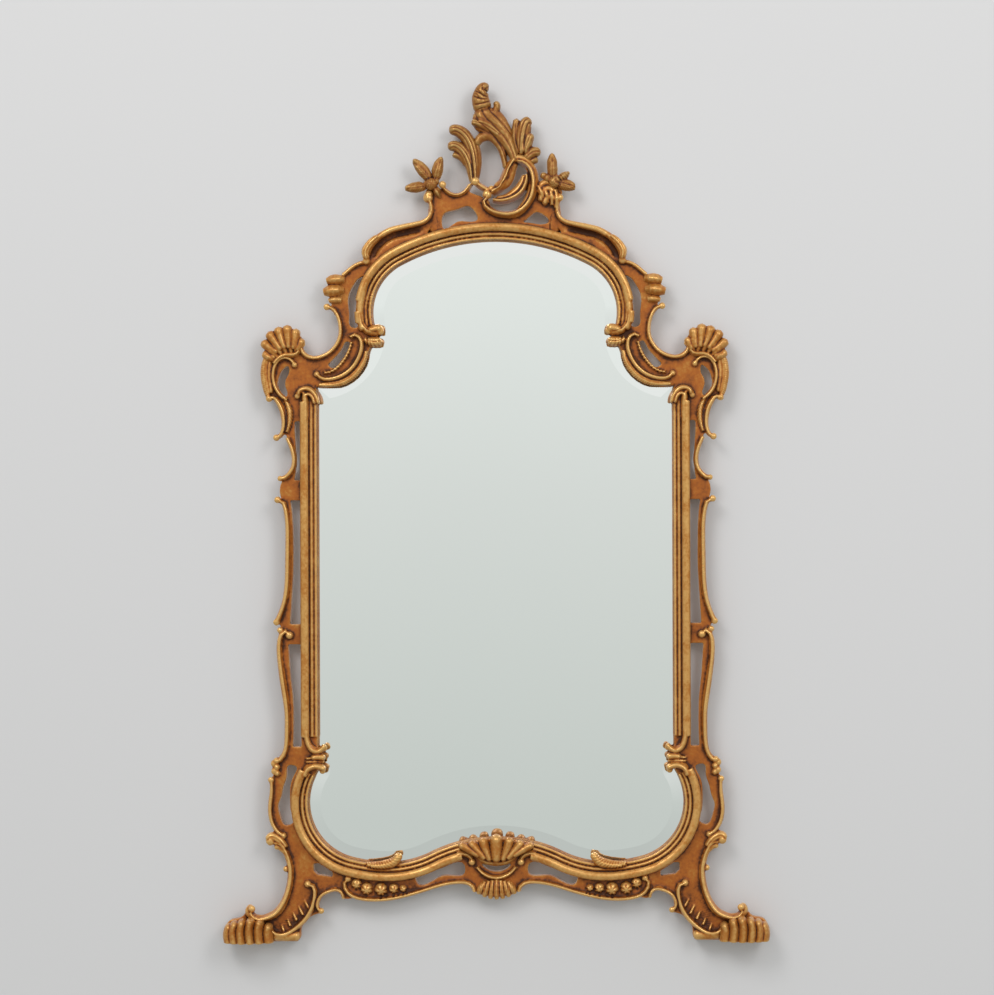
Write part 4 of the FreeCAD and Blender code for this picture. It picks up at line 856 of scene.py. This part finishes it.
def carved(surface, cell, cuts):
    """Skin of closed surfaces with the carver's cuts under soft gesso, and its wear and painted shade at
    each vertex.
    """
    mesh = skinned(*surface, cell)
    spots, squares, edges = mesh_arrays(mesh)
    bpy.data.meshes.remove(mesh)
    spots = averaged(averaged(spots, edges, 2), edges, 1, UNSHRINK)
    facing = normals(spots, squares)
    front = np.clip((0.35 - facing[:, 1]) / 0.5, 0, 1) * (spots[:, 1] < BACK_Y - 6)
    depth = cuts(spots[:, 0], spots[:, 2] + HANG_Z) * bpy.context.scene.mirror_carving.depth
    spots = spots + facing * (depth * front)[:, None]
    spots = averaged(spots, edges, 1, GESSO)
    facing = normals(spots, squares)
    near = averaged(spots, edges, NEAR_PASSES)
    wide = averaged(near, edges, WIDE_PASSES)
    fine = ((spots - near) * facing).sum(1)
    # Broad hollows and swells: painted shade in broad recesses and painted light on broad swells
    broad_shade = ((near - wide) * facing).sum(1)
    proud = np.clip((FRONT_Y - 1 - spots[:, 1]) / 2, 0.2, 1)
    # Fine ridges and hollows give real wear and glaze; the broad term adds painted shade and light
    rub = FINE_RUB * fine + BROAD_PAINTED_SHADE * broad_shade
    rub = MIDDLE_RUB + np.where(rub > 0, rub * proud, rub * HOLLOW_GLAZE_AND_SHADE)
    flat = (np.abs(spots[:, 1] - FRONT_Y) < FLAT_NEAR) & (facing[:, 1] < FLAT_FACING)
    bare = ((spots[:, 1] > BACK_Y - 2.5) & (facing[:, 1] > -0.3)) | (facing[:, 1] > 0.8)
    marks = averaged(np.stack((rub, flat, bare), 1).astype(float), edges, 2)
    return spots, squares, np.clip(marks, 0, 1)


def at_joint(x, z):
    """Places on the flat joints between the boards; the crest's curved seat isn't one."""
    off = np.stack([np.abs(z - level) for level in (HEAD_JOINT_Z, SHOULDER_Z, FOOT_JOINT_Z)]
                   + [np.abs(np.abs(x) - RAIL_JOINT), np.abs(x)])
    return off.min(0) < JOINT_NEAR


def close_joints(mesh, rim):
    """Caps a skin along rim edges; a rim that meets itself is filled with triangles."""
    shell = bmesh.new()
    shell.from_mesh(mesh)
    shell.edges.ensure_lookup_table()
    shell.verts.index_update()
    rim = [shell.edges[i] for i in rim]
    for cap in bmesh.ops.holes_fill(shell, edges=rim, sides=0)["faces"]:
        cap.smooth = False
        for edge in cap.edges:
            edge.smooth = False
    pinched = [edge for edge in rim if edge.is_boundary]
    net = np.array([[end.index for end in edge.verts] for edge in pinched], int).ravel()
    if len(pinched) and not (np.bincount(net) % 2).any():
        made = bmesh.ops.triangle_fill(shell, use_beauty=True, edges=pinched)["geom"]
        for cap in (item for item in made if isinstance(item, bmesh.types.BMFace)):
            cap.smooth = False
    shell.to_mesh(mesh)
    shell.free()


def skin_object(name, spots, squares, marks):
    """Object of a skin, closed where it was cut from its neighbours."""
    mesh = bpy.data.meshes.new(name)
    mesh.from_pydata(spots * MM, [], squares)
    mesh.shade_smooth()
    uses = read(mesh.loops, "edge_index", 1, np.int32)
    rim = np.nonzero(np.bincount(uses, minlength=len(mesh.edges)) == 1)[0]
    ends = read(mesh.edges, "vertices", 2, np.int32).reshape(-1, 2)
    middle = spots[ends[rim]].mean(1)
    rim = rim[at_joint(middle[:, 0], middle[:, 2] + HANG_Z)]
    if len(rim):
        close_joints(mesh, rim)
    for mark, values in zip(("rub", "ground", "bare"), marks.T):
        layer = mesh.attributes.new(mark, "FLOAT", "POINT")
        layer.data.foreach_set("value", values.astype(np.float32))
    mesh.update()
    return placed(name + "_carved", mesh)


def part_of(skin, owners, name):
    """The share of a skin that one node owns."""
    spots, squares, marks = skin
    used, place = np.unique(squares[owners == name], return_inverse=True)
    return spots[used], place.reshape(-1, 4), marks[used]


def strands(name, side=1):
    """Added strands of a piece."""
    return [strand(points, halves, rise, base, side)
            for points, halves, rise, base, _ in FORMS.get(name, [])]


def solids(name):
    """Surface of a node's solid, unless strands alone make its form."""
    return [] if name in ALL_STRANDS else [node_surface(name)]


def board_owner(x, z):
    """Which board each place of the frame belongs to."""
    level = np.select([z > HEAD_JOINT_Z, z > SHOULDER_Z, z > FOOT_JOINT_Z, np.abs(x) > RAIL_JOINT],
                      ["head", "shoulder", "stile", "foot"], "rail")
    owner = np.char.add(np.where(x < 0, "left_", "right_"), level)
    owner[level == "rail"] = "bottom_rail"
    above = np.hypot(x, z - CROWN_CENTRE_Z) > CREST_SEAT_R + CREST_LIFT
    owner[above & (z > HEAD_JOINT_Z) & ((np.abs(x) < CREST_FOOT) | (z > CREST_NECK_Z))] = "crest"
    return owner


def dress(piece, node, material):
    """Puts a piece on the frame in place of a solid."""
    piece.data.materials.clear()
    piece.data.materials.append(material)
    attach(piece, "frame")
    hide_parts(node)


def finish_nodes(names, material):
    """Gives solids that stay a better material."""
    for name in names:
        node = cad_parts[name]
        node.data.materials.clear()
        node.data.materials.append(material)


# Operators


class MIRROR_OT_boards(bpy.types.Operator):
    """Carve and gild the frame boards"""

    bl_idname = "mirror.boards"
    bl_label = "Frame boards"

    def execute(self, context):
        material = gilding("gilded boards", BOARD_TONE)
        kinds = ("head", "shoulder", "stile", "foot")
        names = [hand + kind for kind in kinds for hand in ("left_", "right_")] + ["bottom_rail", "crest"]
        surfaces = [node_surface(name) for name in names]
        surfaces += strands("frame") + strands("frame", -1) + strands("crest")
        skin = carved(joined(surfaces), context.scene.mirror_carving.board_cell, frame_cuts)
        middle = skin[0][skin[1]].mean(1)
        owners = board_owner(middle[:, 0], middle[:, 2] + HANG_Z)
        for name in names:
            dress(skin_object(name, *part_of(skin, owners, name)), name, material)
        return {"FINISHED"}


class MIRROR_OT_ornaments(bpy.types.Operator):
    """Carve and gild the shells, lobes and toes glued on the boards"""

    bl_idname = "mirror.ornaments"
    bl_label = "Shells, lobes and toes"

    def execute(self, context):
        material = gilding("gilded ornaments", ORNAMENT_TONE)
        cell = context.scene.mirror_carving.ornament_cell
        pieces = [("sill_shell", strands("sill_shell"), plain), ("apron_shell", [], apron_cuts)]
        for kind in ("ear_shell", "shoulder_knob", "toe"):
            pieces += [("left_" + kind, strands(kind), plain), ("right_" + kind, strands(kind, -1), plain)]
        for name, added, cuts in pieces:
            skin = carved(joined(solids(name) + added), cell, cuts)
            dress(skin_object(name, *skin), name, material)
        return {"FINISHED"}


class MIRROR_OT_crest(bpy.types.Operator):
    """Carve and gild the crest with its leaves and flowers"""

    bl_idname = "mirror.crest"
    bl_label = "Crest"

    def execute(self, context):
        material = gilding("gilded crest", CREST_TONE)
        cell = context.scene.mirror_carving.crest_cell
        for name in ("crest_plume", "crest_left_leaf", "crest_right_leaf", "left_flower", "right_flower"):
            skin = carved(joined(solids(name) + strands(name)), cell, crest_cuts(name))
            dress(skin_object(name, *skin), name, material)
        return {"FINISHED"}


class MIRROR_OT_glass(bpy.types.Operator):
    """Silver the glass and finish its felts"""

    bl_idname = "mirror.glass"
    bl_label = "Glass"

    def execute(self, context):
        finish_nodes(["mirror_plate"], silvered_glass())
        finish_nodes(["seat_tape"], felt("black felt", (0.02, 0.02, 0.02)))
        finish_nodes(["backing_felt"], felt("grey felt", (0.20, 0.19, 0.18)))
        return {"FINISHED"}


class MIRROR_OT_back(bpy.types.Operator):
    """Finish the backboard, its screws, the dowels and the wall pads"""

    bl_idname = "mirror.back"
    bl_label = "Back"

    def execute(self, context):
        ply = tuple(context.scene.mirror_finish.ply)
        finish_nodes(["backboard"], plain_wood("plywood", ply, (1.0, 1.0, 0.06)))
        beech = plain_wood("beech", (0.55, 0.38, 0.22), (0.2, 1.0, 1.0))
        finish_nodes(["joint_dowels", "crest_dowels"], beech)
        steel = worn_metal("plated steel", (0.58, 0.57, 0.54), 0.25)
        finish_nodes(["backboard_screws", "hanger_screws"], steel)
        finish_nodes(["wall_pads"], felt("pad felt", (0.16, 0.14, 0.12)))
        return {"FINISHED"}


class MIRROR_OT_hangers(bpy.types.Operator):
    """Finish the hanging straps and rings"""

    bl_idname = "mirror.hangers"
    bl_label = "Hangers"

    def execute(self, context):
        brass = tuple(context.scene.mirror_finish.brass)
        finish_nodes(["left_hanger_strap", "right_hanger_strap"], worn_metal("pressed brass", brass, 0.28))
        finish_nodes(["left_hanger_ring", "right_hanger_ring"], worn_metal("brass wire", brass, 0.20))
        return {"FINISHED"}


def sheet_object(name, corners):
    """A flat four-cornered sheet."""
    mesh = bpy.data.meshes.new(name)
    mesh.from_pydata(corners, [], [(0, 1, 2, 3)])
    return placed(name, mesh)


def backdrop(name, colour):
    """Pale matt paint, seen by the camera from its front only, which lets all other light through."""
    finish = Finish(name)
    finish.set(Base_Color=colour, Roughness=0.95, Specular_IOR_Level=0.1)
    path = finish.node("ShaderNodeLightPath", {}, {}, "Is Camera Ray")
    back = finish.node("ShaderNodeNewGeometry", {}, {}, "Backfacing")
    clear = finish.node("ShaderNodeBsdfTransparent", {}, {})
    paint = Val(finish, finish.shader.outputs[0])
    mixed = finish.node("ShaderNodeMixShader", {}, {0: path * (1 - back), 1: clear, 2: paint})
    finish.fill(finish.tree.nodes["Material Output"].inputs[0], mixed)
    return finish.material


def softbox(name, place, target, size, power):
    """A large soft lamp that faces a point."""
    lamp = bpy.data.lights.new(name, "AREA")
    lamp.shape = "RECTANGLE"
    lamp.size, lamp.size_y = size
    lamp.energy = power
    holder = placed(name, lamp)
    away = np.subtract(place, target)
    holder.location = place
    holder.rotation_euler = (math.atan2(math.hypot(away[0], away[1]), away[2]), 0.0,
                             math.atan2(away[1], away[0]) + math.pi / 2)


class MIRROR_OT_stage(bpy.types.Operator):
    """Set up the wall, the floor, the light and the camera"""

    bl_idname = "mirror.stage"
    bl_label = "Stage"

    def execute(self, context):
        scene = context.scene
        stage = scene.mirror_stage
        floor_z = -HANG_Z * MM - stage.floor_drop
        paint = backdrop("pale paint", tuple(stage.wall))
        left, right = -ROOM_HALF, ROOM_HALF
        wall = sheet_object("wall", [(left, WALL_Y, floor_z), (right, WALL_Y, floor_z),
                                     (right, WALL_Y, ROOM_TOP), (left, WALL_Y, ROOM_TOP)])
        floor = sheet_object("floor", [(left, ROOM_FRONT, floor_z), (right, ROOM_FRONT, floor_z),
                                       (right, ROOM_BACK, floor_z), (left, ROOM_BACK, floor_z)])
        for sheet in (wall, floor):
            sheet.data.materials.append(paint)
        for name, lamp in LAMPS.items():
            softbox(name, *lamp)
        self.world(scene)
        self.camera(scene, stage)
        scene.view_settings.view_transform = "Standard"
        return {"FINISHED"}

    def world(self, scene):
        """Even pale light, a little stronger from above."""
        world = bpy.data.worlds.new("studio")
        world.use_nodes = True
        scene.world = world
        tree = world.node_tree
        kinds = ("TexCoord", "SeparateXYZ", "ValToRGB", "MapRange")
        place, split, ramp, rise = (tree.nodes.new("ShaderNode" + kind) for kind in kinds)
        rise.inputs["From Min"].default_value = -SKY_REACH
        rise.inputs["From Max"].default_value = SKY_REACH
        tree.links.new(place.outputs["Generated"], split.inputs[0])
        tree.links.new(split.outputs["Z"], rise.inputs["Value"])
        tree.links.new(rise.outputs[0], ramp.inputs[0])
        set_stops(ramp.color_ramp, SKY)
        shine = tree.nodes["Background"]
        tree.links.new(ramp.outputs[0], shine.inputs["Color"])
        shine.inputs["Strength"].default_value = 1.0

    def camera(self, scene, stage):
        """A level camera that looks straight at the wall, a little aside of the mirror's middle."""
        lens = bpy.data.cameras.new("camera")
        lens.sensor_width = SENSOR
        lens.lens = SENSOR * (stage.distance - GLASS_OUT) / stage.view_width
        lens.shift_x = -stage.aside / stage.view_width
        holder = bpy.data.objects.new("camera", lens)
        scene.collection.objects.link(holder)
        holder.location = (MIDDLE_X + stage.aside, -stage.distance, stage.eye_z - HANG_Z * MM)
        holder.rotation_euler = (math.pi / 2, stage.roll, 0.0)
        scene.camera = holder


class MIRROR_PT_panel(bpy.types.Panel):
    """Sidebar panel that lists the mirror's settings and steps"""

    bl_idname = "MIRROR_PT_panel"
    bl_label = "Giltwood mirror"
    bl_space_type = "VIEW_3D"
    bl_region_type = "UI"
    bl_category = "Mirror"

    def draw(self, context):
        for group in ("mirror_carving", "mirror_finish", "mirror_stage"):
            settings = getattr(context.scene, group)
            for name in settings.__annotations__:
                self.layout.prop(settings, name)
        for step in STEPS:
            self.layout.operator(step.bl_idname)


GROUPS = {"mirror_carving": MirrorCarving, "mirror_finish": MirrorFinish, "mirror_stage": MirrorStage}
STEPS = (MIRROR_OT_boards, MIRROR_OT_ornaments, MIRROR_OT_crest, MIRROR_OT_glass, MIRROR_OT_back,
         MIRROR_OT_hangers, MIRROR_OT_stage)


def register():
    for name, group in GROUPS.items():
        bpy.utils.register_class(group)
        setattr(bpy.types.Scene, name, bpy.props.PointerProperty(type=group))
    for step in (*STEPS, MIRROR_PT_panel):
        bpy.utils.register_class(step)


def unregister():
    for step in (MIRROR_PT_panel, *reversed(STEPS)):
        bpy.utils.unregister_class(step)
    for name, group in GROUPS.items():
        delattr(bpy.types.Scene, name)
        bpy.utils.unregister_class(group)


def main():
    register()
    bpy.ops.mirror.boards()
    bpy.ops.mirror.ornaments()
    bpy.ops.mirror.crest()
    bpy.ops.mirror.glass()
    bpy.ops.mirror.back()
    bpy.ops.mirror.hangers()
    bpy.ops.mirror.stage()


if __name__ == "__main__":
    main()
